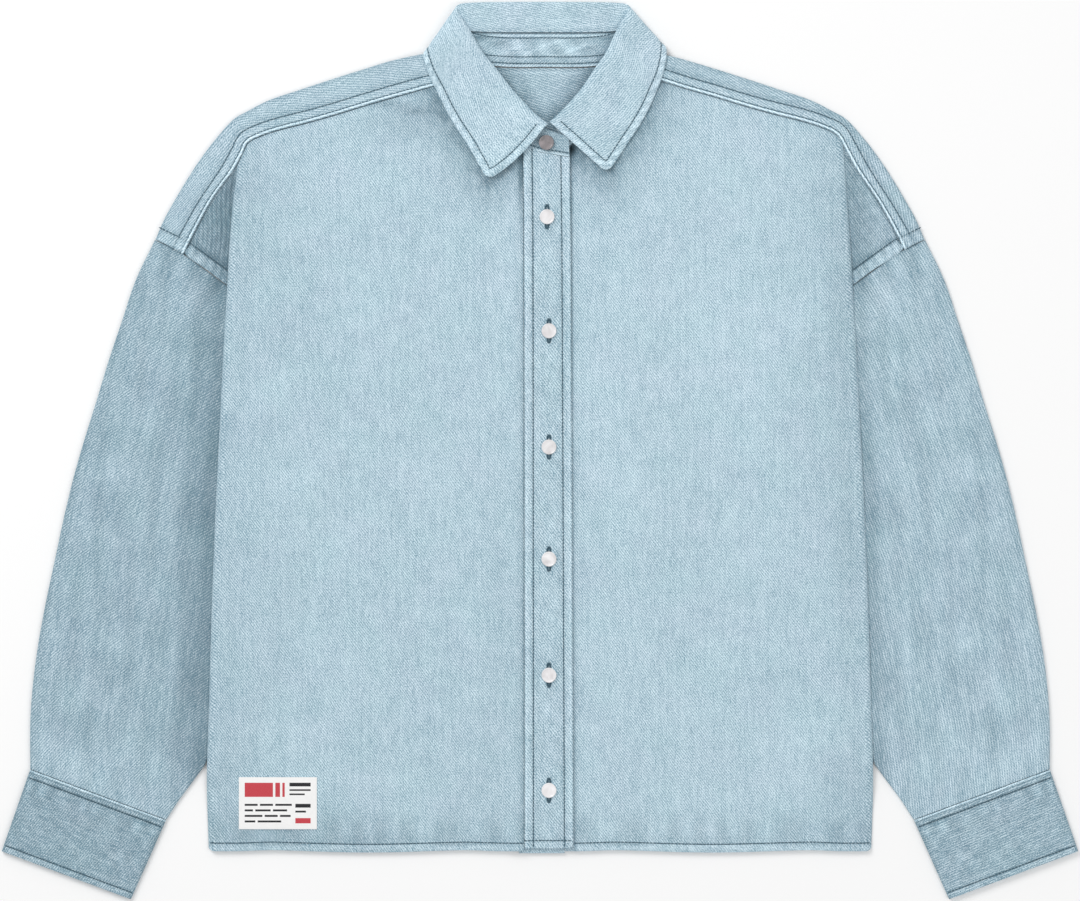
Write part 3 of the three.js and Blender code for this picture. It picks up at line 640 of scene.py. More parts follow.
def frontPiece(side, name, material):
    even = spaced(front["bottom"], front["even"], front["pitch"], (-339.4, -333.5, -332.4), 0.7, 1.6)
    steps = np.linspace(0, 1, 27)[1:]
    nominal = np.concatenate([even, front["even"] + 54 * steps])[:, None]
    beyondBand = np.full(nominal.shape, bandEdges["right"] + seamGap)
    start = seamGap - placketEdge(1, nominal) if side < 0 else beyondBand
    fold = sideFold(nominal)
    part = np.linspace(0, 1, 93)[None, :]
    x = start + (fold - front["roll"] - start) * part
    y = np.broadcast_to(nominal, x.shape).copy()
    above = np.arange(len(nominal)) >= len(even)
    y[above] = front["even"] + steps[:, None] * (frontTop(side, x[above]) - front["even"])
    hemShape = hemEdge(x) * (1 - ease(y, front["bottom"], front["bottom"] + 60))
    low = frontLevel(x, y) + overLift(side, x) + frontRelief(side, x, y)
    high = frontSurface(side, x, y)
    turn = np.linspace(0, math.pi / 2, 10)[None, 1:]
    lastY = y[:, -1:] + (y[:, -1:] - y[:, -2:-1]) / (x[:, -1:] - x[:, -2:-1]) * (fold - x[:, -1:])
    lip = np.where(nominal > 141, layer + cloth / 2, low[:, -1:] - layer + 0.1)
    rollY = y[:, -1:] + (lastY - y[:, -1:]) * np.sin(turn)
    outX = np.hstack([x, fold - front["roll"] * (1 - np.sin(turn))])
    inX = np.hstack([x, fold - cloth - (front["roll"] - cloth) * (1 - np.sin(turn))])
    outZ = np.hstack([high, lip + (high[:, -1:] - lip) * np.cos(turn)])
    inZ = np.hstack([low, lip + (low[:, -1:] - lip) * np.cos(turn)])
    rollShape = hemEdge(outX[:, -9:]) * (1 - ease(rollY, front["bottom"], front["bottom"] + 60))
    y = np.hstack([y + hemShape, rollY + rollShape])
    outer = np.stack([side * outX, y, outZ], -1)
    inner = np.stack([side * inX, y, inZ], -1)
    reach = np.hstack([x, fold - front["roll"] + turn * 3.5])
    uv = np.stack([side * reach, y], -1)
    tone = frontTone(side, outX, y)
    rope = 0.9 * (1 - ease(y - front["bottom"], 7, 10))
    rope = rope + 0.25 * bell(awayFrom(outX, y, yokeSeam[side]) - 3, 4)
    sheet = wall(outer, inner, uv, tone=tone, rope=rope)
    return addPiece(name, [sheet, wedgeWall(side)], material)


def wedgeRelief(side, x, y):
    seam, upper = awayFrom(x, y, armholePath), awayFrom(x, y, yokeSeam[side])
    pleats = 0.25 * (1 + np.sin(x / 2.2 + y / 9.0)) * ease(seam, 12, 22)
    return seamBand(seam, 12, 0.75) + 0.3 * bell(upper - 4, 3) + pleats * 0.7


def wedgeTone(side, x, y):
    seam, upper = awayFrom(x, y, armholePath), awayFrom(x, y, yokeSeam[side])
    depth = x - sideFold(np.minimum(y, 254))
    slant = y / 14.0 + 1.2 * np.sin(y / 9) if side < 0 else y / 1.1
    ribs = (0.11 if side < 0 else 0.06) * np.sin(x / 0.62 + slant) * ease(seam, 11, 16)
    # painted shade, darkest next to the folded front edge above, with painted ribs of small wrinkles
    shade = (0.36 if side < 0 else 0.56) + 0.24 * ease(depth, 0, 28) + ribs + 0.08 * ripple(x, y, 9, 39)
    band = 0.13 * (1 - ease(seam, 9, 13)) * (1 + 0.9 * np.sin((x + 0.4 * y) / 1.3 + 2 * np.sin(x / 7)))
    return shade + band + 1.3 * seamTone(seam, 12) - 0.18 * bell(upper, 2.2)


def wedgeWall(side):
    table = np.array(wedgeRows, float)
    table[2:, 2:] += np.array([0.87, 0.49]) * seamMoves[side][2]
    rows = through(table, np.linspace(0, len(table) - 1, 90))
    part = np.linspace(0, 1, 52)
    x = rows[:, :1] + (rows[:, 2:3] - rows[:, :1]) * part
    y = rows[:, 1:2] + (rows[:, 3:4] - rows[:, 1:2]) * part
    under = 1 - ease(x - sideFold(np.minimum(y, 254)), 0.5, 4)
    top = layer + cloth - 0.85 * under + wedgeRelief(side, x, y) * (1 - under)
    outer = np.stack([side * x, y, top], -1)
    inner = np.stack([side * x, y, np.full(x.shape, layer)], -1)
    uv = np.stack([side * x, y], -1)
    seam = awayFrom(x, y, armholePath)
    rope = 0.7 * (1 - ease(seam, 10, 14))
    return wall(outer, inner, uv, tone=wedgeTone(side, x, y), rope=rope)


# Yoke: the back lies on the surface and wraps both shoulders to the front seams

yokeCut = {"radius": 1.45, "lap": 9, "band": 11.4, "ridge": 0.75, "stitches": (3.1, 10.2)}


def yokeWrap(side):
    table = yokeRows(side)
    table[0, [0, 2]] += side * collarShift(330)
    rows = through(table, np.linspace(0, len(table) - 1, 170))
    fold, seam = rows[:, :2], rows[:, 2:]
    inward = seam - fold
    depth = np.linalg.norm(inward, axis=1)[:, None]
    inward = inward / depth
    radius = yokeCut["radius"]
    part = np.linspace(0, 1, 34)[None, :]
    flat = depth - seamGap / 2 + (radius - depth + seamGap / 2) * part
    turn = np.linspace(0, math.pi, 11)[None, 1:]
    roundOut = np.broadcast_to(radius * (1 - np.sin(turn)), (len(rows), 10))
    roundIn = np.broadcast_to(radius - (radius - cloth) * np.sin(turn), (len(rows), 10))
    lap = np.full((len(rows), 1), yokeCut["lap"])

    def place(distance, z):
        x = side * (fold[:, :1] + inward[:, :1] * distance)
        y = fold[:, 1:] + inward[:, 1:] * distance
        return np.stack([x, y, z + collarLift(x, y)], -1)
    away = depth - seamGap / 2 - flat
    x, y = fold[:, :1] + inward[:, :1] * flat, fold[:, 1:] + inward[:, 1:] * flat
    hole = awayFrom(x, y, armholePath)
    held = ease(away, 10, 14) * ease(flat, radius, 6)
    soft = held * (0.22 * (1 + ripple(x, y, 40, 41)))
    relief = seamBand(away, yokeCut["band"], yokeCut["ridge"]) + seamBand(hole, 12, 0.6) + soft
    relief = relief - 0.35 * bell(away - 3.1, 0.7) + 0.2 * bell(away - 1.5, 0.8)
    topZ = 2 * radius + relief * ease(flat, 0, 3)
    outer = np.concatenate([
        place(flat, topZ), place(roundOut, radius + radius * np.cos(turn) * (1 - 0.207 * ease(turn, 1.6, 3.1))),
        place(lap, 0.3),
    ], 1)
    inner = np.concatenate([
        place(flat, np.full(flat.shape, layer)), place(roundIn, radius + 0.25 * np.cos(turn)),
        place(lap, cloth - 0.3),
    ], 1)
    around = np.hstack([away, away[:, -1:] + radius * turn, away[:, -1:] + 12])
    run = np.cumsum(np.concatenate([[0], np.linalg.norm(np.diff(seam, axis=0), axis=1)]))[:, None]
    uv = np.stack([np.broadcast_to(side * run, around.shape), around], -1)
    tone = 1 + seamTone(away, yokeCut["band"]) + seamTone(hole, 12) + foldedEdge(away)
    tone = tone - 0.3 * bell(hole, 1.3)
    tone = tone - 0.10 * (1 - ease(flat, 0, 6)) - 0.08 * bell(away, 1.0) + 0.02 * ripple(x, y, 50, 43)
    tone = np.hstack([tone, np.full((len(rows), 11), 0.84)])
    rope = np.hstack([0.7 * (1 - ease(away, 7, 10)) + 0.6 * (1 - ease(hole, 10, 14)),
                      np.zeros((len(rows), 11))])
    for distance in yokeCut["stitches"]:
        line = place(depth - distance, np.full(depth.shape, 2 * radius + 0.42))[:, 0]
        stitched("yoke", line[3:-1])
    return wall(outer, inner, uv, tone=tone, rope=np.minimum(rope, 1))


def yokeBack():
    neck = np.array([row[:2] for row in collarRows[:6]])
    hole = np.array([(306, 168.7), (327.2, 178.9)])
    columns = np.concatenate([np.linspace(-322, -110, 60), np.linspace(-110, 110, 90)[1:-1],
                              np.linspace(110, 322, 60)])
    far = np.abs(columns)
    neckY = curveAt(neck, np.abs(columns - collarShift(330))) - 1.2
    foldY = np.interp(far, [row[0] for row in shoulderRows], [row[1] for row in shoulderRows]) - 1.2
    topY = np.where(far <= 85, np.minimum(neckY, 338), foldY)
    edgeY = np.interp(far, hole[:, 0], hole[:, 1]) + seamGap
    edgeY = np.where(far > 286, np.interp(far, [286, 306, 327.2], [157, 168.7, 178.9]) + seamGap, edgeY)
    bottomY = np.where(far <= 286, backSeam(columns) + seamGap / 2, edgeY)
    part = np.linspace(0, 1, 44)[:, None]
    y = bottomY + (topY - bottomY) * part
    x = np.broadcast_to(columns, y.shape)
    level = collarLift(x, y)
    middle = bell((x - 5) / 1.0, 90) * ease(y, 262, 285)
    soft = 0.35 * middle * (1 + 0.6 * ripple(x, y, 45, 47)) * ease(y, 248, 256)
    outer = np.stack([x, y, level + cloth + soft], -1)
    inner = np.stack([x, y, level], -1)
    leaves = np.array([row[6:8] for row in collarRows[7:]])
    near = awayFrom(np.abs(x - collarShift(y)), y, leaves)
    # painted shade on the back of the yoke beside and under the collar leaves
    tone = 1.0 - 0.34 * bell(near, 12) * (1 + 0.35 * ripple(x, y, 16, 59)) + 0.035 * ripple(x, y, 30, 49)
    tone = tone + 0.34 * bell(y - neckY + 3.0, 0.6) - 0.22 * bell(y - neckY + 1.4, 0.6)
    return wall(outer, inner, np.stack([x, y], -1), tone=tone, rope=0.0)


# Back

def backPiece(material):
    even = spaced(-339.2, 150, 7.5, (-338.6, -331.8), 0.9, 1.8)
    steps = np.linspace(0, 1, 14)[1:]
    nominal = np.concatenate([even, np.full(len(steps), 150.0)])[:, None]
    reach = np.where(nominal <= -80, sideFold(nominal) - cloth - seamGap,
                     sleeveInner(nominal) - 2 * seamGap)
    part = np.linspace(-1, 1, 91)[None, :]
    x = reach * part
    y = np.broadcast_to(nominal, x.shape).copy()
    y[len(even):] = 150 + steps[:, None] * (backSeam(x[len(even):]) - seamGap / 2 - 150)
    lift = sleeveLift(x, y) * (1 - ease(y, -80, -60))
    up = y + 339.2
    hem = 0.8 * (1 - ease(up, 7.2, 8.9))
    outer = np.stack([x, y, lift + cloth], -1)
    inner = np.stack([x, y, np.maximum(lift - hem * (lift > 1.2), 0)], -1)
    tone = 1 - 0.18 * bell(up - 6.9, 1.2) - 0.14 * bell(up, 1.0) + 0.02 * ripple(x, y, 90, 51)
    sheet = wall(outer, inner, np.stack([x, y], -1), tone=tone, rope=0.8 * (1 - ease(up, 7, 10)))
    return addPiece("back", [sheet], material)


# Sleeves and cuffs: flattened tubes of cloth

def flatTube(plan, thickness, slot, top, under, uvAcross, tones):
    # plan: grid of x, y from the outer fold to the inner one; top and under: added heights
    height = 2 * thickness + slot
    half = height / 2
    turn = np.linspace(-math.pi / 2, math.pi / 2, 9)

    def edge(first, second, radius, centre, upwards):
        step = second - first
        step = step / np.linalg.norm(step, axis=1, keepdims=True)
        swing = turn if upwards else -turn
        inwards = half - radius * np.cos(swing)
        flatPlaces = first[:, None, :] + step[:, None, :] * inwards[None, :, None]
        z = centre + radius * np.sin(swing) * np.ones((len(first), 1))
        return np.concatenate([flatPlaces, z[..., None]], -1)
    grids = []
    for radius, topZ, underZ in ((half, height, 0.0), (half - thickness, height - thickness, thickness)):
        over = np.concatenate([plan, (topZ + top)[..., None]], -1)[:, 1:-1]
        below = np.concatenate([plan, (underZ + under)[..., None]], -1)[:, 1:-1][:, ::-1]
        first = edge(plan[:, 0], plan[:, 1], radius, half, True)
        last = edge(plan[:, -1], plan[:, -2], radius, half, False)
        grids.append(np.concatenate([first, over, last, below], 1))
    outer, inner = grids
    toneTop, toneEdge = tones
    count = plan.shape[1] - 2
    rows = len(plan)
    tone = np.concatenate([
        np.repeat(toneTop[:, :1], 9, 1) * toneEdge, toneTop[:, 1:-1],
        np.repeat(toneTop[:, -1:], 9, 1) * toneEdge, np.full((rows, count), 0.97),
    ], 1)
    step = np.linalg.norm(np.diff(np.concatenate([outer, outer[:, :1]], 1), axis=1), axis=2)
    run = np.concatenate([np.zeros((rows, 1)), np.cumsum(step, 1)], 1)
    uv = np.stack([run - run[:, 9:10] + uvAcross[:, :1], np.broadcast_to(uvAcross[:, 1:2], run.shape)], -1)
    return outer, inner, uv, tone


sleeveCut = {"rows": 178, "across": 76, "crown": 1.5}
# rows: start along, across, end along, across (shares of the sleeve), half width in mm, height
sleeveFolds = {
    -1: [
        (0.02, 0.06, 0.22, 0.30, 6, 0.7), (0.02, 0.16, 0.26, 0.42, 7, 0.7),
        (0.30, 0.10, 0.55, 0.34, 8, 0.6),
        (0.55, 0.30, 0.80, 0.12, 8, 0.6), (0.70, 0.55, 0.96, 0.30, 7, 0.8),
        (0.78, 0.20, 0.98, 0.14, 5, 0.8),
        (0.84, 0.62, 0.99, 0.52, 6, 0.8), (0.40, 0.42, 0.66, 0.60, 9, 0.6), (0.88, 0.40, 1.0, 0.36, 5, 0.7),
        (0.10, 0.28, 0.34, 0.50, 8, 0.6),
    ],
    1: [
        (0.02, 0.08, 0.24, 0.28, 6, 0.7), (0.04, 0.20, 0.30, 0.44, 7, 0.6),
        (0.34, 0.14, 0.60, 0.30, 8, 0.5),
        (0.60, 0.40, 0.86, 0.22, 8, 0.6), (0.80, 0.60, 0.98, 0.46, 6, 0.8),
        (0.84, 0.24, 0.99, 0.20, 5, 0.7),
        (0.48, 0.52, 0.72, 0.66, 9, 0.5), (0.90, 0.70, 1.0, 0.68, 5, 0.7), (0.12, 0.30, 0.40, 0.46, 8, 0.5),
    ],
}


def sleevePlan():
    part = spaced(0, 1, 1 / sleeveCut["rows"], (0, 1), 0.003, 0.02)[:, None]
    w = np.linspace(0, 1, sleeveCut["across"])[None, :]
    outerY = shoulderPoint[1] + (cuffTop[0][1] - shoulderPoint[1]) * part
    innerY = underarm[1] + (cuffTop[1][1] - underarm[1]) * part
    outerX, innerX = sleeveOuter(outerY), sleeveInner(innerY)
    holeY = shoulderPoint[1] + (underarm[1] - shoulderPoint[1]) * w
    holeX = sleeveInner(holeY)
    bend = (1 - part) ** 2
    straightX = shoulderPoint[0] + (underarm[0] - shoulderPoint[0]) * w
    x = outerX + (innerX - outerX) * w + bend * (holeX - straightX)
    y = outerY + (innerY - outerY) * w
    return part, w, x, y


def sleevePiece(side, name, material):
    part, w, x, y = sleevePlan()
    width = np.hypot(x[:, :1] - x[:, -1:], y[:, :1] - y[:, -1:])
    fold = sideFold(np.minimum(y, 254))
    outside = x - fold                  # how far outside the body
    down = part * 460
    crown = sleeveCut["crown"] * np.sin(math.pi * part) * ease(w, 0, 0.2) * (1 - ease(w, 0.3, 0.5))
    rows = [(a * 460, b * 150, c * 460, d * 150, e, f) for a, b, c, d, e, f in sleeveFolds[side]]
    folds = creases(down + 0 * w, w * 150 + 0 * part, rows)
    free = ease(w, 0.0, 0.07) * (1 - ease(w, 0.90, 0.99)) * ease(outside, -18, 6)
    head = bell(down, 34) * ease(down, 3, 12) * 0.35 * (1 + np.sin(w * width / 2.4 + 2 * np.sin(w * 21)))
    wrist = ease(part, 0.93, 0.985) * 0.42 * (1 + np.sin(w * width / 2.6 + 1.6 * np.sin(w * 17)))
    uneven = 0.35 * (1 + ripple(x, y, 70, 61 + side)) * ease(part, 0, 0.05) * (1 - ease(part, 0.95, 1))
    gather = 1 - 0.5 * bell(part - 1, 0.006)
    relief = (folds + head + wrist + uneven) * free * gather + crown
    plan = np.stack([side * x, y], -1)
    # painted shadow of the body's folded edge on the sleeve, darkest next to the fold
    shade = ease(outside, -2, 44 if side < 0 else 22)
    depth = -0.33 if side < 0 else -0.22
    belowHem = 1 - ease(y, -300, -262)
    tone = 1 + depth * (1 - shade) * (1 - 0.6 * belowHem) + 0.05 * folds + 0.022 * ripple(x, y, 80, 63)
    seam = awayFrom(x, y, armholePath)
    tone = tone - 0.28 * bell(seam, 1.3) - 0.06 * bell(seam - 5, 6)
    tone = tone + 0.09 * np.sin(w * width / 2.4) * bell(down, 24)
    tone = tone + 0.07 * ripple(x * 1.6, y * 0.5, 34, 65)
    fromCuff = (1 - part) * 460
    tone = tone - 0.06 * bell(fromCuff, 1.2) + (0.12 if side < 0 else 0.07) * bell(fromCuff, 40)
    tone = tone - 0.06 * bell(w * width, 4)
    uvAcross = np.hstack([np.zeros_like(part), -down])
    outer, inner, uv, tones = flatTube(plan, cloth, layerGap, relief, 0 * relief, uvAcross, (tone, 0.97))
    return addPiece(name, [wall(outer, inner, uv, True, tone=tones, rope=0.0)], material)


cuffCut = {"across": 58, "ridge": 0.7}


def cuffPiece(side, name, material):
    height = np.hypot(cuffTop[0][0] - cuffBottom[0][0], cuffTop[0][1] - cuffBottom[0][1])
    down = spaced(0, height, 2.0, (0.8, 6.6, height - 5.6, height - 0.6), 0.7, 1.8)[:, None]
    part = down / height
    w = np.linspace(0, 1, cuffCut["across"])[None, :]
    corner = [np.array(p, float) for p in (*cuffTop, *cuffBottom)]
    start = corner[0] + (corner[2] - corner[0]) * part
    end = corner[1] + (corner[3] - corner[1]) * part
    drop = seamGap * (part == 0)
    x = start[:, :1] + (end[:, :1] - start[:, :1]) * w + 0.3 * drop
    y = start[:, 1:] + (end[:, 1:] - start[:, 1:]) * w - drop
    width = np.linalg.norm(end - start, axis=1)[:, None]
    near, fromEdge = down, height - down
    ridge = cuffCut["ridge"] * (ease(near, 0, 1.2) * (1 - ease(near, 4.8, 7.4))
                                + 0.7 * (1 - ease(fromEdge, 3.6, 6.4)))
    groove = 0.55 * bell(near - 7.2, 0.9) + 0.4 * bell(fromEdge - 5.6, 0.9)
    dents = 0.45 * bell(near - 16, 8) * (1 + np.sin(w * width / 2.5 + 1.7 * np.sin(w * 13)))
    soft = 0.3 * (1 + ripple(x, y, 42, 71 + side))
    free = ease(w, 0, 0.05) * (1 - ease(w, 0.95, 1))
    relief = (ridge - groove + dents
              + soft * ease(near, 8, 16) * (1 - ease(near, height - 18, height - 7))) * free
    plan = np.stack([side * x, y], -1)
    # worn light edge of the top seam, with painted shadow lines beside it
    tone = 1 + 0.62 * bell(near - 1.3, 0.72) - 0.40 * bell(near - 2.9, 0.6) + 0.08 * bell(near - 5, 1.2)
    tone = tone - 0.14 * bell(near - 7.2, 0.9) - 0.30 * bell(near, 0.5)
    tone = tone - 0.10 * bell(fromEdge - 5.6, 0.9) + 0.10 * bell(fromEdge - 2.6, 1.8)
    tone = tone - 0.06 * bell(fromEdge, 0.8)
    # painted light and shade on the dents below the top seam
    tone = tone + 0.22 * (dents - 0.35) * bell(near - 15, 8) * (1 + ripple(x, y, 20, 77))
    tone = tone + 0.06 * ripple(x, y, 18, 73)
    tone = tone + 0.06 * ripple(x, y, 8, 75) * ease(near, 9, 14)
    tone = tone - 0.04 * bell(w * width, 3) - 0.04 * bell((1 - w) * width, 3)
    uvAcross = np.hstack([np.zeros_like(part), -down])
    outer, inner, uv, tones = flatTube(plan, cuffCloth, layerGap, relief, 0 * relief, uvAcross, (tone, 0.9))
    rope = 0.8 * (1 - ease(near, 6, 9)) + 0.7 * (1 - ease(fromEdge, 4.5, 7))
    piece = addPiece(name, [wall(outer, inner, uv, True, tone=tones, rope=rope + 0 * tones)],
                     material)
    top = 2 * cuffCloth + layerGap
    inset = np.clip(np.linspace(0.025, 0.975, 60), 0, 1)
    for distance, lift in ((7.2, 0.15), (height - 5.6, 0.15)):
        share = distance / height
        a, b = corner[0] + (corner[2] - corner[0]) * share, corner[1] + (corner[3] - corner[1]) * share
        line = a + (b - a) * inset[:, None]
        at = np.stack([side * line[:, 0], line[:, 1], np.full(60, top + lift)], -1)
        stitched(name, at, 2.7)
    return piece


# Collar: a ring of stations from the wearer's left end round the back to the right

collar = {"stations": 250, "creaseReach": 4, "topstitch": 6.8, "ridge": 0.35, "tip": 7.0}


# the wearer's right leaf reaches lower; rows: station from the middle, column, change
rightLeaf = [
    (2, (10, -1.5)), (3, (10, -3.5)), (4, (10, -5.5)), (5, (10, -5.5)), (6, (10, -3.0)), (4, (9, 0.8)),
    (5, (9, 1.2)), (6, (9, 1.0)), (12, (10, -1.8)), (13, (10, -5.7)), (13, (6, 2.8)), (13, (7, -2.0)),
]


def ringStations():
    table = np.array(collarRows, float)

    def place(rows, side, lift):
        rows = rows.copy()
        for k in range(4):
            rows[:, 3 * k] = side * rows[:, 3 * k] + collarShift(rows[:, 3 * k + 1])
            rows[:, 3 * k + 2] += lift
        return np.hstack([rows, lift[:, None]])
    lift = np.array([overRaise.get(k, 0) for k in range(len(table))])
    left = place(table, 1, 0 * lift)[::-1]
    right = place(table, -1, lift)[1:]
    for k, (column, change) in rightLeaf:
        right[k, column] += change
    return np.concatenate([left, right])


def toward(a, b, distance):             # from a towards b in plan, keeping a's height
    step = (b - a)[:, :2]
    length = np.linalg.norm(step, axis=1, keepdims=True)
    moved = a.copy()
    moved[:, :2] += step / length * distance
    return moved


def runAlong(grid, axis):               # length along a grid from its first row or column
    step = np.linalg.norm(np.diff(grid, axis=axis), axis=2)
    first = np.zeros_like(step[:1] if axis == 0 else step[:, :1])
    return np.concatenate([first, np.cumsum(step, axis)], axis)


def fallMiddle():
    ring = ringStations()
    fine = np.concatenate([np.linspace(0, 0.5, 12), np.linspace(0.5, 27.5, collar["stations"])[1:-1],
                           np.linspace(27.5, 28, 12)])
    rows = through(ring, fine)
    s, c, e = rows[:, 3:6], rows[:, 6:9], rows[:, 9:12]
    turn, lift = rows[:, 12:13], rows[:, 13:14]
    bend = 1.9 + 0.7 * ease(turn, -1, 1)
    rise = np.linalg.norm((s - c)[:, :2], axis=1, keepdims=True)
    start = s + (c - s) * np.minimum(1.5 / rise, 0.45)
    start[:, 2:] = s[:, 2:] + 0.5 * np.maximum(-turn, 0)
    into = toward(c, s, np.minimum(collar["creaseReach"], 0.5 * rise))
    out = toward(c, e, collar["creaseReach"])
    into[:, 2:] += bend * turn
    out[:, 2:] -= bend * turn
    edge = e.copy()
    edge[:, 2:] -= 0.8 * lift
    leaf = []
    for t in (0.2, 0.4, 0.6, 0.8, 1):
        point = out + (edge - out) * t
        point[:, 1] -= 5.0 * 4 * t * (1 - t) * ease(fine, 26.4, 28)
        rest = frontLevel(point[:, 0], point[:, 1]) + cloth + layerGap + collarCloth / 2
        over = ease(-turn[:, 0], 0.7, 0.85)
        point[:, 2] = np.maximum(point[:, 2], rest * over + point[:, 2] * (1 - over))
        leaf.append(point)
    section = np.stack([start, (start + into) / 2, into, c, out, *leaf])
    places = np.concatenate([np.linspace(0, 4, 26), np.linspace(4, 8, 34)[1:], np.linspace(8, 9, 24)[1:]])
    return roundTips(through(section, places).transpose(1, 0, 2), collar["tip"])


def roundTips(grid, radius):            # both points of the collar, at the ends of the last column
    grid = grid.copy()
    across, along = runAlong(grid, 1), runAlong(grid, 0)
    fromEdge = across[:, -1:] - across
    for fromFront, sign in ((along, -1), (along[-1:] - along, 1)):
        a, b = np.maximum(radius - fromEdge, 0), np.maximum(radius - fromFront, 0)
        share = 1 - np.maximum(a, b) / np.maximum(np.hypot(a, b), 1e-6)
        share = np.where((a > 0) & (b > 0), share, 0)[..., None]
        outward = np.gradient(grid, axis=1)
        outward /= np.linalg.norm(outward, axis=2, keepdims=True)
        ahead = sign * np.gradient(grid, axis=0)
        ahead /= np.linalg.norm(ahead, axis=2, keepdims=True)
        grid = grid - share * (a[..., None] * outward + b[..., None] * ahead)
    return grid


def sample(grid, rows, columns):        # points of a grid at fractional rows and columns
    rows, columns = np.broadcast_arrays(np.asarray(rows, float), np.asarray(columns, float))
    i = np.clip(rows.astype(int), 0, grid.shape[0] - 2)
    j = np.clip(columns.astype(int), 0, grid.shape[1] - 2)
    u, v = (rows - i)[:, None], (columns - j)[:, None]
    return ((1 - u) * (1 - v) * grid[i, j] + u * (1 - v) * grid[i + 1, j]
            + (1 - u) * v * grid[i, j + 1] + u * v * grid[i + 1, j + 1])


def lineInset(grid, runColumns, rows, distance):    # along the last column, a distance in
    columns = []
    for i in rows:
        fromEdge = runColumns[i, -1] - runColumns[i]
        columns.append(np.interp(-distance, -fromEdge, np.arange(grid.shape[1])))
    return sample(grid, rows, columns)


def fallPiece(material):
    middle = fallMiddle()
    rows, columns = middle.shape[:2]
    acrossRun, alongRun = runAlong(middle, 1), runAlong(middle, 0)
    fromEdge = acrossRun[:, -1:] - acrossRun
    fromFront = np.minimum(alongRun, alongRun[-1:] - alongRun)
    past = ease(acrossRun - acrossRun[:, 25:26], -6, 4)
    edge = np.minimum(fromEdge, fromFront / np.maximum(past, 0.02))
    stitch = collar["topstitch"]
    ridge = collar["ridge"] * (1 - ease(edge, stitch - 2.0, stitch + 1.5)) - 0.35 * bell(edge - stitch, 0.9)
    rounded = -0.5 * bell(edge, 0.9)
    x, y = middle[..., 0], middle[..., 1]
    inside = ease(edge, stitch, stitch + 8)
    soft = 0.22 * inside * (1 + ripple(x, y, 34, 81)) * past
    wrinkle = 0.12 * inside * (1 + np.sin(alongRun / 2.6 + fromEdge / 7)) * bell(fromEdge - stitch - 2, 6)
    relief = ridge + rounded + soft + wrinkle
    under, top = thickened(middle, collarCloth, rounded * 0.6, relief)
    under[..., 2], top[..., 2] = np.maximum(under[..., 2], 0), np.maximum(top[..., 2], 0)
    tone = 1 + 0.10 * bell(edge - 3.0, 2.4) * past - 0.17 * bell(edge - stitch, 1.0)
    tone = tone - 0.08 * bell(edge, 0.7)
    puckers = np.sin(alongRun / 1.7 + fromEdge / 1.9 + 2 * np.sin(alongRun / 9))
    puckers = puckers * (1 + 0.7 * ripple(x, y, 15, 85))
    tone = tone + 0.12 * past * bell(edge - 3, 3.2) * puckers
    tone = tone - 0.05 * bell(acrossRun - acrossRun[:, 14:15], 5)
    tone = tone + 0.03 * ripple(x, y, 40, 83) + 0.05 * soft
    tone = tone - 0.12 * bell(acrossRun, 3.0)
    rope = 0.75 * (1 - ease(edge, stitch - 0.5, stitch + 1.5)) * past
    crease = alongRun[:, 14:15] + 0 * acrossRun
    uv = np.stack([crease, acrossRun], -1)
    for hand in (slice(0, rows // 2 - 8), slice(rows - 1, rows // 2 + 8, -1)):
        run = np.arange(rows)[hand]
        kept = [i for i in run if np.interp(acrossRun[i, -1] - stitch, acrossRun[i], fromFront[i]) > stitch]
        down = lineInset(top, acrossRun, kept[::-1], stitch)
        front = []
        for j in range(27, columns):
            if fromEdge[run[0], j] > stitch:
                fromEnd = np.abs(alongRun[:, j] - alongRun[run[0], j])[run]
                place = np.interp(stitch, fromEnd, run.astype(float))
                front.append(sample(top, [place], [j])[0])
        line = np.concatenate([down, np.array(front)[::-1]])
        stitched("collar_fall", line + [0, 0, 0.12], 2.9)
    fold = wall(under, top, uv, tone=tone, rope=rope)
    return addPiece("collar_fall", [fold], material)


# light and dark crease lines across the back of the stand, painted light and shade: start x y, end x y, half
# width, strength
standStrokes = [
    (-38, 336, -10, 346, 1.3, 1.0), (-16, 336, 6, 343, 1.1, 0.9), (-4, 342, 22, 350, 1.2, 1.0),
    (14, 335, 44, 347, 1.4, 1.0), (30, 338, 52, 344, 1.0, -0.8), (-48, 342, -24, 349, 1.2, -0.8),
]


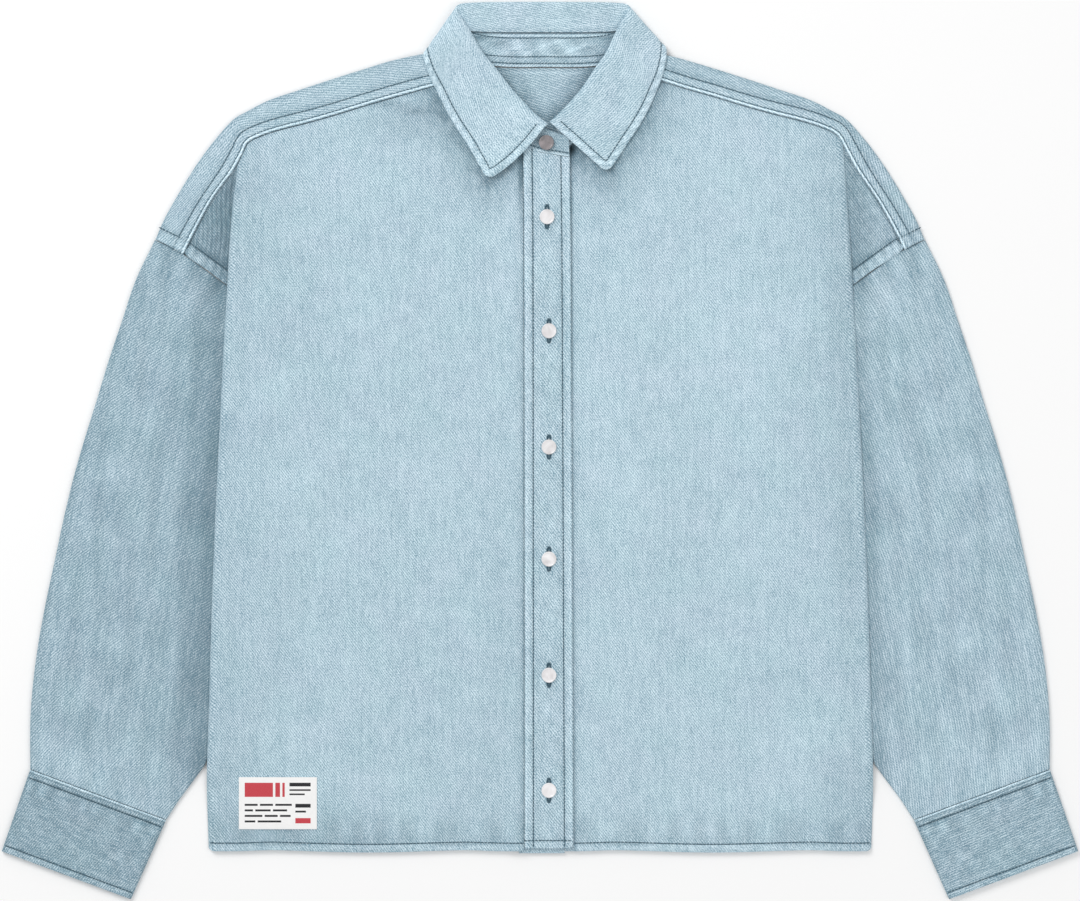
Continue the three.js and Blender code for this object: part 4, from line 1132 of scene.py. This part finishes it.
def standPiece(material):
    ring = ringStations()[:, :6]
    tab = []
    for row in tabRows:
        points = np.array(row, float)
        for k in range(2):
            points[3 * k] = collarShift(points[3 * k + 1]) - points[3 * k]
        tab.append(points)
    table = np.concatenate([ring, tab])
    places = np.concatenate([np.linspace(0, 28, 260), np.linspace(28, 31, 34)[1:]])
    rows = through(table, places)
    part = spaced(0, 1, 0.05, (0.02, 0.1, 0.9), 0.02, 0.06)
    middle = rows[:, None, :3] + (rows[:, None, 3:] - rows[:, None, :3]) * part[None, :, None]
    acrossRun, alongRun = runAlong(middle, 1), runAlong(middle, 0)
    x, y = middle[..., 0], middle[..., 1]
    behind = ease(y, 315, 335)
    wrinkles = 0.35 * (1 + np.sin((x + 0.7 * y) / 4.2 + 1.5 * np.sin(x / 15)))
    wrinkles = wrinkles * bell(part[None, :] - 0.55, 0.33)
    bottom = 0.35 * bell(acrossRun - 1.6, 1.4)
    relief = (wrinkles * behind + bottom) * ease(acrossRun[:, -1:] - acrossRun, 0, 4)
    upper, lower = thickened(middle, standCloth, 0.25 * bell(part[None, :] - 0.5, 0.4), relief)
    fromTop = acrossRun[:, -1:] - acrossRun
    ends = ease(np.abs(x - collarShift(y)), 38, 62) * behind
    strokes = creases(x, y, standStrokes)
    tab = np.arange(len(rows))[:, None] > 240
    # painted light and shade on the stand's wrinkles and crease lines; darker towards its ends
    tone = 0.93 + 0.38 * (wrinkles - 0.35) * behind + 0.26 * strokes * behind - 0.38 * ends
    # painted shade on the tab under the leaves and round its button
    tone = tone - 0.16 * bell(acrossRun - 3.0, 1.0) - 0.12 * tab * (1 + 0.6 * ripple(x, y, 9, 58))
    tone = tone - 0.22 * tab * bell(np.hypot(x - standButton[0], y - standButton[1]), 9)
    tone = tone - 0.12 * bell(acrossRun - 8.6, 0.9) * behind + 0.32 * bell(acrossRun - 0.9, 0.6)
    tone = tone + (0.36 * bell(fromTop - 1.7, 0.7) - 0.20 * bell(fromTop - 3.4, 0.8)) * behind
    tone = tone - 0.16 * bell(fromTop, 0.8) + 0.06 * ripple(x, y, 12, 57)
    uv = np.stack([alongRun[:, :1] + 0 * acrossRun, acrossRun], -1)
    half = len(rows) // 2
    backRows = np.arange(half - 66, half + 34)
    for distance in (3.0, 8.6, 24.6):
        columns = [np.interp(distance, acrossRun[i], np.arange(len(part))) for i in backRows]
        stitched("collar_stand", sample(lower, backRows, columns) + [0, 0, 0.12], 2.8)
    front = np.arange(len(rows) - 60, len(rows) - 3)
    columns = [np.interp(3.2, acrossRun[i], np.arange(len(part))) for i in front]
    stitched("collar_stand", sample(upper, front, columns) + [0, 0, 0.12], 2.8)
    return addPiece("collar_stand", [wall(upper, lower, uv, tone=tone,
                                          rope=0.3 * bell(acrossRun - 1.5, 2.5))],
                    material)


# Placket, button band and label

placket = {"level": 3.6, "bottom": -337.9, "top": 247.8, "stitch": 7.6, "ridge": 0.4}
buttonRows = [(6, 198.5), (7.6, 101.6), (7.6, 3), (7.6, -92.2), (7.6, -190.8), (7.6, -288.6)]
standButton = (5.4, 261.5, 6.7)
buttonhole = {"length": 21.5, "width": 4.4}


def placketRelief(x, y):
    left, right = placketEdge(1, y), placketEdge(2, y)
    fromLeft, fromRight = x - left, right - x
    side = np.minimum(fromLeft, fromRight)
    stitch = placket["stitch"]
    ridge = placket["ridge"] * (1 - ease(side, stitch - 2.6, stitch + 0.6))
    ridge = ridge - 0.42 * bell(side - stitch, 0.9)
    pull = 0.10 * (1 + np.sin(y / 1.9 + 1.2 * np.sin(y / 11.0))) * bell(side - stitch + 2.5, 2.6)
    centre = 0.35 * (1 + ripple(x * 2.2, y, 60, 91)) * ease(side, stitch, stitch + 5)
    dents = 0
    for holeX, holeY in buttonRows:
        lip = bell(np.hypot((x - holeX) / 4.2, (y - holeY) / 13.5) - 1, 0.30)
        dents = dents + 0.45 * lip
    up = y - placket["bottom"]
    hem = 0.35 * (1 - ease(up, 6.4, 8.0)) - 0.35 * bell(up - 6.6, 0.9)
    return ridge + pull + centre + dents + hem - 0.7 * bell(side, 0.7)


def placketTone(x, y):
    side = np.minimum(x - placketEdge(1, y), placketEdge(2, y) - x)
    stitch = placket["stitch"]
    # painted shadow along both edges of the placket
    tone = 1 + 0.07 * bell(side - 2.4, 2.0) - 0.15 * bell(side - stitch, 1.0) - 0.22 * bell(side, 0.8)
    tone = tone + 0.12 * bell(side - 1.6, 0.6) + 0.05 * ripple(x, y, 12, 94)
    tone = tone - 0.035 * bell(side - stitch - 3, 3) + 0.03 * ripple(x * 2, y, 50, 93)
    for holeX, holeY in buttonRows:
        tone = tone - 0.10 * bell(np.hypot((x - holeX) / 5.0, (y - holeY) / 12.0), 1.2)
    up = y - placket["bottom"]
    return tone - 0.14 * bell(up - 6.6, 1.1) - 0.10 * bell(up, 0.9)


def underTab(x, y):                     # the top of the placket follows the tab of the stand
    edge = np.interp(x, [-16, -11.5, 1, 14, 25, 27], [259.6, 257.4, 253.0, 250.8, 249.0, 248.8])
    return y + (edge - placket["top"]) * ease(y, 215, placket["top"])


def placketPiece(material):
    y = spaced(placket["bottom"], placket["top"], 2.6, (-331.3, -337.3), 0.7, 1.6)[:, None]
    part = np.linspace(0, 1, 50)[None, :]
    left, right = placketEdge(1, y), placketEdge(2, y)
    corner = 5.0 * (1 - np.sqrt(1 - np.clip(1 - (y - placket["bottom"]) / 5.0, 0, 1) ** 2))
    x = left + (right - corner - left) * part
    y = underTab(x, y)
    top = placket["level"] + bandCloth + placketRelief(x, y)
    outer = np.stack([x, y, top], -1)
    inner = np.stack([x, y, np.full(x.shape, placket["level"])], -1)
    rope = 0.55 * (1 - ease(np.minimum(x - left, right - x), 5.5, 8.4))
    rope = rope + 0.5 * (1 - ease(y - placket["bottom"], 6, 8.5))
    for edge, sign in ((1, 1), (2, -1)):
        place = np.arange(placket["bottom"] + 3, placket["top"] - 0.4, 1.5)
        at = placketEdge(edge, place) + sign * placket["stitch"]
        place = underTab(at, place)
        level = placket["level"] + bandCloth + placketRelief(at, place) + 0.22
        stitched("placket", np.stack([at, place, level], -1), 3.0)
    across = np.arange(-12.2, 25.5, 1.2)
    low = np.full(across.shape, placket["bottom"] + 6.6)
    level = placket["level"] + bandCloth + placketRelief(across, low) + 0.22
    stitched("placket", np.stack([across, low, level], -1), 3.0)
    sheet = wall(outer, inner, np.stack([x, y], -1), tone=placketTone(x, y), rope=np.minimum(rope, 1))
    return addPiece("placket", [sheet], material)


def bandPiece(material):
    y = spaced(bandEdges["bottom"], bandEdges["top"], 6, (-341.6,), 0.7, 1.4)[:, None]
    part = np.linspace(0, 1, 34)[None, :]
    x = bandEdges["left"] + (bandEdges["right"] - bandEdges["left"]) * part + 0 * y
    y = np.broadcast_to(y, x.shape)
    side = np.minimum(x - bandEdges["left"], bandEdges["right"] - x)
    top = layer + cloth - 0.5 * bell(side, 0.6) - 0.3 * bell(y - bandEdges["bottom"], 0.7)
    outer = np.stack([x, y, top], -1)
    inner = np.stack([x, y, np.full(x.shape, layer)], -1)
    # painted light on the end that shows below the placket, against the shade there
    tone = 0.96 + 0.06 * bell(y - bandEdges["bottom"] - 2, 2.0)
    sheet = wall(outer, inner, np.stack([x, y], -1), tone=tone + 0 * x, rope=0.6 * (y < -334) + 0 * x)
    return addPiece("button_band", [sheet], material)


label = {"left": -255.8, "right": -189.5, "top": -277.5, "bottom": -321.7, "cloth": 1.0, "gap": 0.9}


def labelMaterial():
    # white cloth with a plain printed design of red blocks and thin dark rules
    material, nodes, shader = newMaterial("labelCloth", Roughness=0.85, Specular_IOR_Level=0.1)
    cut = nodes.add("ShaderNodeUVMap", {"uv_map": "cloth"})
    parts = nodes.add("ShaderNodeSeparateXYZ", None, {0: cut})
    across, up = parts, Socket(nodes, parts.socket.node.outputs[1])

    def over(value, limit):
        return nodes.add("ShaderNodeMath", {"operation": "GREATER_THAN"}, {0: value, 1: limit * mm})

    def block(x0, x1, y0, y1):
        return (over(across, x0) - over(across, x1)) * (over(up, y0) - over(up, y1))
    red = block(5, 29, 27.5, 39.5) + block(31, 35, 27.5, 39.5) + block(37, 39, 27.5, 39.5)
    red = red + block(48, 61, 5, 9.5)
    dark = block(43, 61, 36.4, 39.5) + block(43, 61, 32.6, 34.0) + block(43, 56, 29.0, 30.4)
    for k, ends in enumerate(((0, 11, 13, 24, 26, 40), (0, 7, 9, 22, 24, 36),
                              (0, 15, 17, 28, 30, 39), (0, 9, 11, 31))):
        for x0, x1 in zip(ends[::2], ends[1::2]):
            dark = dark + block(5 + x0, 5 + x1, 19.9 - 4.7 * k, 21.6 - 4.7 * k)
    dark = dark + block(48, 61, 18.4, 21.6) + block(48, 57, 14.2, 15.8)
    thread = nodes.sine(across * (2 * math.pi / (0.62 * mm))) * nodes.sine(up * (2 * math.pi / (0.62 * mm)))
    spots = nodes.noise(cut, 300, 3)
    white = nodes.blend(0.5 + thread * 0.25 + spots * 0.6, (0.92, 0.92, 0.915), (0.98, 0.98, 0.975))
    printed = nodes.blend(red * (0.93 + thread * 0.05), white, (0.58, 0.012, 0.032))
    feed(nodes, shader, "Base Color", nodes.blend(dark * 0.97, printed, (0.010, 0.010, 0.014)))
    inputs = {"Strength": 0.5, "Distance": 0.00012, "Height": thread + spots}
    feed(nodes, shader, "Normal", nodes.add("ShaderNodeBump", None, inputs))
    return material


def labelPiece():
    x = np.linspace(label["left"], label["right"], 58)[None, :]
    y = np.linspace(label["bottom"], label["top"], 40)[:, None]
    x, y = np.broadcast_arrays(x, y)
    side = np.minimum(np.minimum(x - label["left"], label["right"] - x),
                      np.minimum(y - label["bottom"], label["top"] - y))
    level = frontLevel(x, y) + cloth + label["gap"]
    bow = 0.18 * (1 + ripple(x, y, 26, 97)) * ease(side, 0, 7)
    bow = bow - 0.35 * bell(side, 0.8) - 0.15 * bell(side - 2.0, 0.7)
    outer = np.stack([x, y, level + label["cloth"] + bow], -1)
    low = np.stack([x, y, level - 0.25], -1)
    uv = np.stack([x - label["left"], y - label["bottom"]], -1)
    return addPiece("label", [wall(outer, low, uv)], labelMaterial())


# Buttons

button = {"radius": 6.4, "height": 2.2, "rim": 0.55, "sides": 56}


def buttonPiece(node, centre, material):
    r, h = button["radius"], button["height"]
    profile = [
        (r - 1.1, 0), (r - 0.35, 0.2), (r, 0.75), (r, h - 0.85), (r - 0.12, h - 0.4), (r - 0.38, h - 0.1),
        (r - 0.62, h), (r - 0.9, h - 0.08), (r - 1.15, h - 0.32), (r - 1.5, h - 0.45),
        (r - 3.0, h - 0.52), (r - 4.8, h - 0.50), (0.6, h - 0.48),
    ]
    turn = np.linspace(0, 2 * math.pi, button["sides"], endpoint=False)
    points = [(centre[0], centre[1], centre[2])]
    for radius, z in profile:
        points += [(centre[0] + radius * math.cos(a), centre[1] + radius * math.sin(a),
                    centre[2] + z) for a in turn]
    points.append((centre[0], centre[1], centre[2] + h - 0.48))
    sides, last = button["sides"], len(profile) - 1
    faces = [(0, 1 + (k + 1) % sides, 1 + k) for k in range(sides)]
    for ring in range(last):
        for k in range(sides):
            a, b = 1 + ring * sides + k, 1 + ring * sides + (k + 1) % sides
            faces.append((a, b, b + sides, a + sides))
    top = 1 + last * sides
    faces += [(top + k, top + (k + 1) % sides, len(points) - 1) for k in range(sides)]
    mesh = bpy.data.meshes.new("sewn_" + node)
    mesh.from_pydata([tuple(v * mm for v in p) for p in points], [], faces)
    mesh.shade_smooth()
    mesh.set_sharp_from_angle(angle=math.radians(48))
    mesh.materials.append(material)
    piece = bpy.data.objects.new("sewn_" + node, mesh)
    bpy.context.scene.collection.objects.link(piece)
    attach(piece, "root")
    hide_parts(node)
    return piece


# Stitches: one tree lays small thread beads along the stitch lines of a piece

def stitchTree(thread):
    tree = bpy.data.node_groups.new("stitchRun", "GeometryNodeTree")
    tree.interface.new_socket("Geometry", in_out="INPUT", socket_type="NodeSocketGeometry")
    for name, start in (("Pitch", 0.003), ("Length", 0.0024), ("Width", 0.0009),
                        ("Height", 0.0007), ("Turn", 0.0)):
        tree.interface.new_socket(name, in_out="INPUT", socket_type="NodeSocketFloat").default_value = start
    tree.interface.new_socket("Seed", in_out="INPUT", socket_type="NodeSocketInt").default_value = 3
    tree.interface.new_socket("Geometry", in_out="OUTPUT", socket_type="NodeSocketGeometry")
    nodes = Nodes(tree)
    given = tree.nodes.new("NodeGroupInput").outputs
    take = {key: Socket(nodes, given[key]) for key in ("Geometry", "Pitch", "Length", "Width", "Height", "Turn", "Seed")}
    curve = nodes.add("GeometryNodeMeshToCurve", None, {0: take["Geometry"]})
    even = nodes.add("GeometryNodeResampleCurve", {"mode": "LENGTH"},
                     {"Curve": curve, "Length": take["Pitch"]})
    spots = nodes.add("GeometryNodeCurveToPoints", {"mode": "EVALUATED"}, {0: even})
    tangent = Socket(nodes, spots.socket.node.outputs["Tangent"])
    aligned = nodes.add("FunctionNodeAlignRotationToVector", {"axis": "X"}, {"Vector": tangent})
    inputs = {2: -0.09, 3: 0.09, "Seed": take["Seed"]}
    sway = nodes.add("FunctionNodeRandomValue", {"data_type": "FLOAT"}, inputs, 1)
    spin = nodes.add("ShaderNodeCombineXYZ", None, {"Z": take["Turn"] + sway})
    turned = nodes.add("FunctionNodeRotateRotation", {"rotation_space": "LOCAL"}, {0: aligned, 1: nodes.add(
        "FunctionNodeEulerToRotation", None, {0: spin})})
    inputs = {2: 0.86, 3: 1.1, "Seed": take["Seed"] + 1}
    vary = nodes.add("FunctionNodeRandomValue", {"data_type": "FLOAT"}, inputs, 1)
    size = {"X": take["Length"] * vary, "Y": take["Width"], "Z": take["Height"]}
    bead = nodes.add("GeometryNodeMeshUVSphere", None, {"Segments": 8, "Rings": 5, "Radius": 0.5})
    inputs = {"Points": spots, "Instance": bead, "Rotation": turned,
              "Scale": nodes.add("ShaderNodeCombineXYZ", None, size)}
    placed = nodes.add("GeometryNodeInstanceOnPoints", None, inputs)
    plain = nodes.add("GeometryNodeRealizeInstances", None, {0: placed})
    smooth = nodes.add("GeometryNodeSetShadeSmooth", None, {0: plain})
    done = nodes.add("GeometryNodeSetMaterial", None, {"Geometry": smooth, "Material": thread})
    tree.links.new(done.socket, tree.nodes.new("NodeGroupOutput").inputs[0])
    return tree


def stitchPiece(name, runs, tree, sizes):
    points, edges = [], []
    for line, pitch in runs:
        line = alongPath(line, 1.4)
        edges += [(len(points) + k, len(points) + k + 1) for k in range(len(line) - 1)]
        points += [tuple(p) for p in line * mm]
    lines = bpy.data.meshes.new(name + "_line")
    lines.from_pydata(points, edges, [])
    maker = bpy.data.objects.new(name + "_line", lines)
    bpy.context.scene.collection.objects.link(maker)
    modifier = maker.modifiers.new("stitches", "NODES")
    modifier.node_group = tree
    sockets = {item.name: item.identifier for item in tree.interface.items_tree if item.in_out == "INPUT"}
    for key, value in sizes.items():
        modifier[sockets[key]] = value
    shown = maker.evaluated_get(bpy.context.evaluated_depsgraph_get())
    mesh = bpy.data.meshes.new_from_object(shown)
    bpy.data.objects.remove(maker)
    piece = bpy.data.objects.new(name, mesh)
    bpy.context.scene.collection.objects.link(piece)
    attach(piece, "root")
    print(name, len(mesh.polygons), "faces")
    return piece


felledReach = 11.2                      # from the armhole seam to its row of stitches


def seamStitches():
    for side, node in ((-1, "front_right"), (1, "front_left")):
        x = np.arange(16 if side < 0 else 31, sideFold(-333.5) - 3, 1.5)
        y = np.full(x.shape, front["bottom"] + front["hemStitch"])
        z = frontSurface(side, x, y) + 0.22
        shift = hemEdge(x) * (1 - ease(y, front["bottom"], front["bottom"] + 60))
        stitched(node, np.stack([side * x, y + shift, z], -1), 3.0)
        path = alongPath(armholePath, 1.5)      # felled armhole seam, over the wedge and the yoke
        step = np.gradient(path, axis=0)
        step /= np.linalg.norm(step, axis=1, keepdims=True)
        line = path + felledReach * np.stack([-step[:, 1], step[:, 0]], -1)
        line = line[line[:, 0] > 266.5]
        z = np.full(len(line), layer + cloth + 0.75)
        stitched(node, np.stack([side * line[:, 0], line[:, 1], z], -1), 3.0)


# darkening of the whole piece (partly its own fading, partly painted shade), twill pitch in mm, its lean in
# radians, twill, flecks, streaks, and whether the warp is upright
weaves = {
    "back": (-0.06, 1.74, 0.66, 1.0, 1.1, 1.0, True),
    "yoke": (-0.06, 2.0, 1.25, 1.0, 1.3, 0.7, False),
    "front_right": (-0.01, 1.82, 0.66, 1.0, 1.2, 1.0, True),
    "front_left": (0.015, 1.82, 0.66, 1.0, 1.2, 1.0, True),
    "sleeve_right": (-0.215, 1.84, -0.60, 0.9, 1.5, 1.5, True),
    "sleeve_left": (-0.105, 2.15, -0.113, 0.85, 1.25, 1.5, True),
    "cuff_right": (-0.305, 1.9, -0.36, 1.0, 1.75, 1.3, False),
    "cuff_left": (-0.215, 2.0, 1.53, 0.9, 1.7, 1.3, False),
    "collar_stand": (0.02, 1.8, 0.9, 0.8, 1.4, 0.8, False),
    "collar_fall": (0.035, 1.85, -1.31, 0.9, 1.45, 0.9, False),
    "placket": (-0.005, 1.95, 0.66, 1.1, 1.5, 1.0, True),
    "button_band": (-0.04, 1.74, 0.66, 1.0, 1.1, 1.0, True),
}


def cloths(node):
    return denim("denim_" + node, *weaves[node])


pieces = {"back": backPiece(cloths("back"))}
pieces["yoke"] = addPiece("yoke", [yokeBack(), yokeWrap(-1), yokeWrap(1)], cloths("yoke"))
for side, hand in ((-1, "right"), (1, "left")):
    for kind, make in (("front_", frontPiece), ("sleeve_", sleevePiece), ("cuff_", cuffPiece)):
        pieces[kind + hand] = make(side, kind + hand, cloths(kind + hand))
pieces["button_band"] = bandPiece(cloths("button_band"))
pieces["placket"] = placketPiece(cloths("placket"))
pieces["collar_stand"] = standPiece(cloths("collar_stand"))
pieces["collar_fall"] = fallPiece(cloths("collar_fall"))
pieces["label"] = labelPiece()
print("cloth pieces made")

pearl = pearlMaterial("pearl", (0.66, 0.64, 0.645), (0.96, 0.95, 0.965))
# a darker copy of the pearl: painted shade on the button that lies under the collar
pearlInShade = pearlMaterial("pearlInShade", (0.165, 0.155, 0.16), (0.36, 0.32, 0.332))
buttonLevel = placket["level"] + bandCloth + 0.3
for k, (x, y) in enumerate(buttonRows):
    buttonPiece(f"button_{k + 1}", (x, y, buttonLevel), pearl)
buttonPiece("button_stand", standButton, pearlInShade)
print("buttons made")

seamStitches()
thread = threadMaterial()
tree = stitchTree(thread)
seamSizes = {"Pitch": 3.0 * mm, "Length": 3.15 * mm, "Width": 1.0 * mm,
             "Height": 0.62 * mm, "Turn": 0.0, "Seed": 5}
stitchesOn = {}
for node, runs in stitchRuns.items():
    stitchesOn[node] = stitchPiece("stitches_" + node, runs, tree, seamSizes)

holeRuns = []
for x, y in buttonRows:
    turn = np.linspace(0, 2 * math.pi, 80)
    ringX = x + 0.5 * (buttonhole["width"] - 1.6) * np.sign(np.cos(turn)) * np.abs(np.cos(turn)) ** 0.35
    ringY = y + 0.5 * (buttonhole["length"] - 1.4) * np.sin(turn)
    level = placket["level"] + bandCloth + placketRelief(ringX, ringY) + 0.15
    holeRuns.append((np.stack([ringX, ringY, level], -1), 0.7))
holeSizes = {"Pitch": 0.72 * mm, "Length": 2.3 * mm, "Width": 0.9 * mm,
             "Height": 0.7 * mm, "Turn": math.pi / 2, "Seed": 9}
buttonholes = stitchPiece("stitches_buttonholes", holeRuns, tree, holeSizes)
print("stitches made")

# What each sheet was cut to, in metres, and what it lies on
sheets = {
    "back": (0.562, 0.587, 0.285, ("sleeve_right", "sleeve_left")),
    "yoke": (0.66, 0.20, 0.075, ("back",)),
    "front_right": (0.30, 0.66, 0.165, ("back", "sleeve_right", "button_band")),
    "front_left": (0.29, 0.66, 0.160, ("back", "sleeve_left")),
    "sleeve_right": (0.44, 0.48, 0.15, ("cuff_right",)),
    "sleeve_left": (0.44, 0.48, 0.15, ("cuff_left",)),
    "cuff_right": (0.25, 0.075, None, ("sleeve_right",)),
    "cuff_left": (0.25, 0.075, None, ("sleeve_left",)),
    "button_band": (0.0387, 0.5891, None, ("back",)),
    "placket": (0.042, 0.586, None, ("button_band", "front_right")),
    "collar_stand": (0.43, 0.03, 0.0108, ("yoke", "front_right", "front_left")),
    "collar_fall": (0.47, 0.08, 0.0285, ("collar_stand",)),
    "label": (0.0663, 0.0442, None, ("front_right",)),
}


def shellArea(piece):
    return sum(face.area for face in piece.data.polygons) / 2


for node, (width, length, area, rests) in sheets.items():
    goes = [stitchesOn[node]] if node in stitchesOn else []
    if node == "placket":
        goes.append(buttonholes)
    print(node, "half of the shell", round(shellArea(pieces[node]), 4),
          "cut", round(area or width * length, 4))

# Camera straight above, floor and soft studio light

view = {"height": 6.0, "across": 0.918}
cameraData = bpy.data.cameras.new("camera")
cameraData.sensor_width = 36
cameraData.lens = 36 * view["height"] / view["across"]
cameraData.clip_end = 100
camera = bpy.data.objects.new("camera", cameraData)
camera.location = (0, 0, view["height"])
bpy.context.scene.collection.objects.link(camera)
bpy.context.scene.camera = camera

floorMesh = bpy.data.meshes.new("floor")
floorCorners = [(-9, -9, -0.0006), (9, -9, -0.0006), (9, 9, -0.0006), (-9, 9, -0.0006)]
floorMesh.from_pydata(floorCorners, [], [(0, 1, 2, 3)])
floorMaterial, floorNodes, floorShader = newMaterial("floorPaper", Roughness=0.95)
floorShader.inputs["Base Color"].default_value = (0.96, 0.96, 0.96, 1)
floorMesh.materials.append(floorMaterial)
floor = bpy.data.objects.new("floor", floorMesh)
bpy.context.scene.collection.objects.link(floor)

world = bpy.data.worlds.new("studio")
bpy.context.scene.world = world
world.use_nodes = True
world.node_tree.nodes["Background"].inputs["Color"].default_value = (1.0, 1.0, 1.0, 1)
world.node_tree.nodes["Background"].inputs["Strength"].default_value = 0.62
softBoxes = (("key", (-1.5, 1.7, 2.2), 1.5, 43), ("fill", (1.9, -1.0, 2.6), 2.0, 20))
for name, place, size, watts in softBoxes:
    lamp = bpy.data.lights.new(name, "AREA")
    lamp.size, lamp.energy = size, watts
    lampObject = bpy.data.objects.new(name, lamp)
    lampObject.location = place
    aim = -np.array(place) / np.linalg.norm(place)
    lampObject.rotation_euler = (math.acos(-aim[2]), 0, math.atan2(aim[1], aim[0]) - math.pi / 2)
    bpy.context.scene.collection.objects.link(lampObject)
bpy.context.scene.view_settings.view_transform = "Standard"
print("camera, floor and light set")
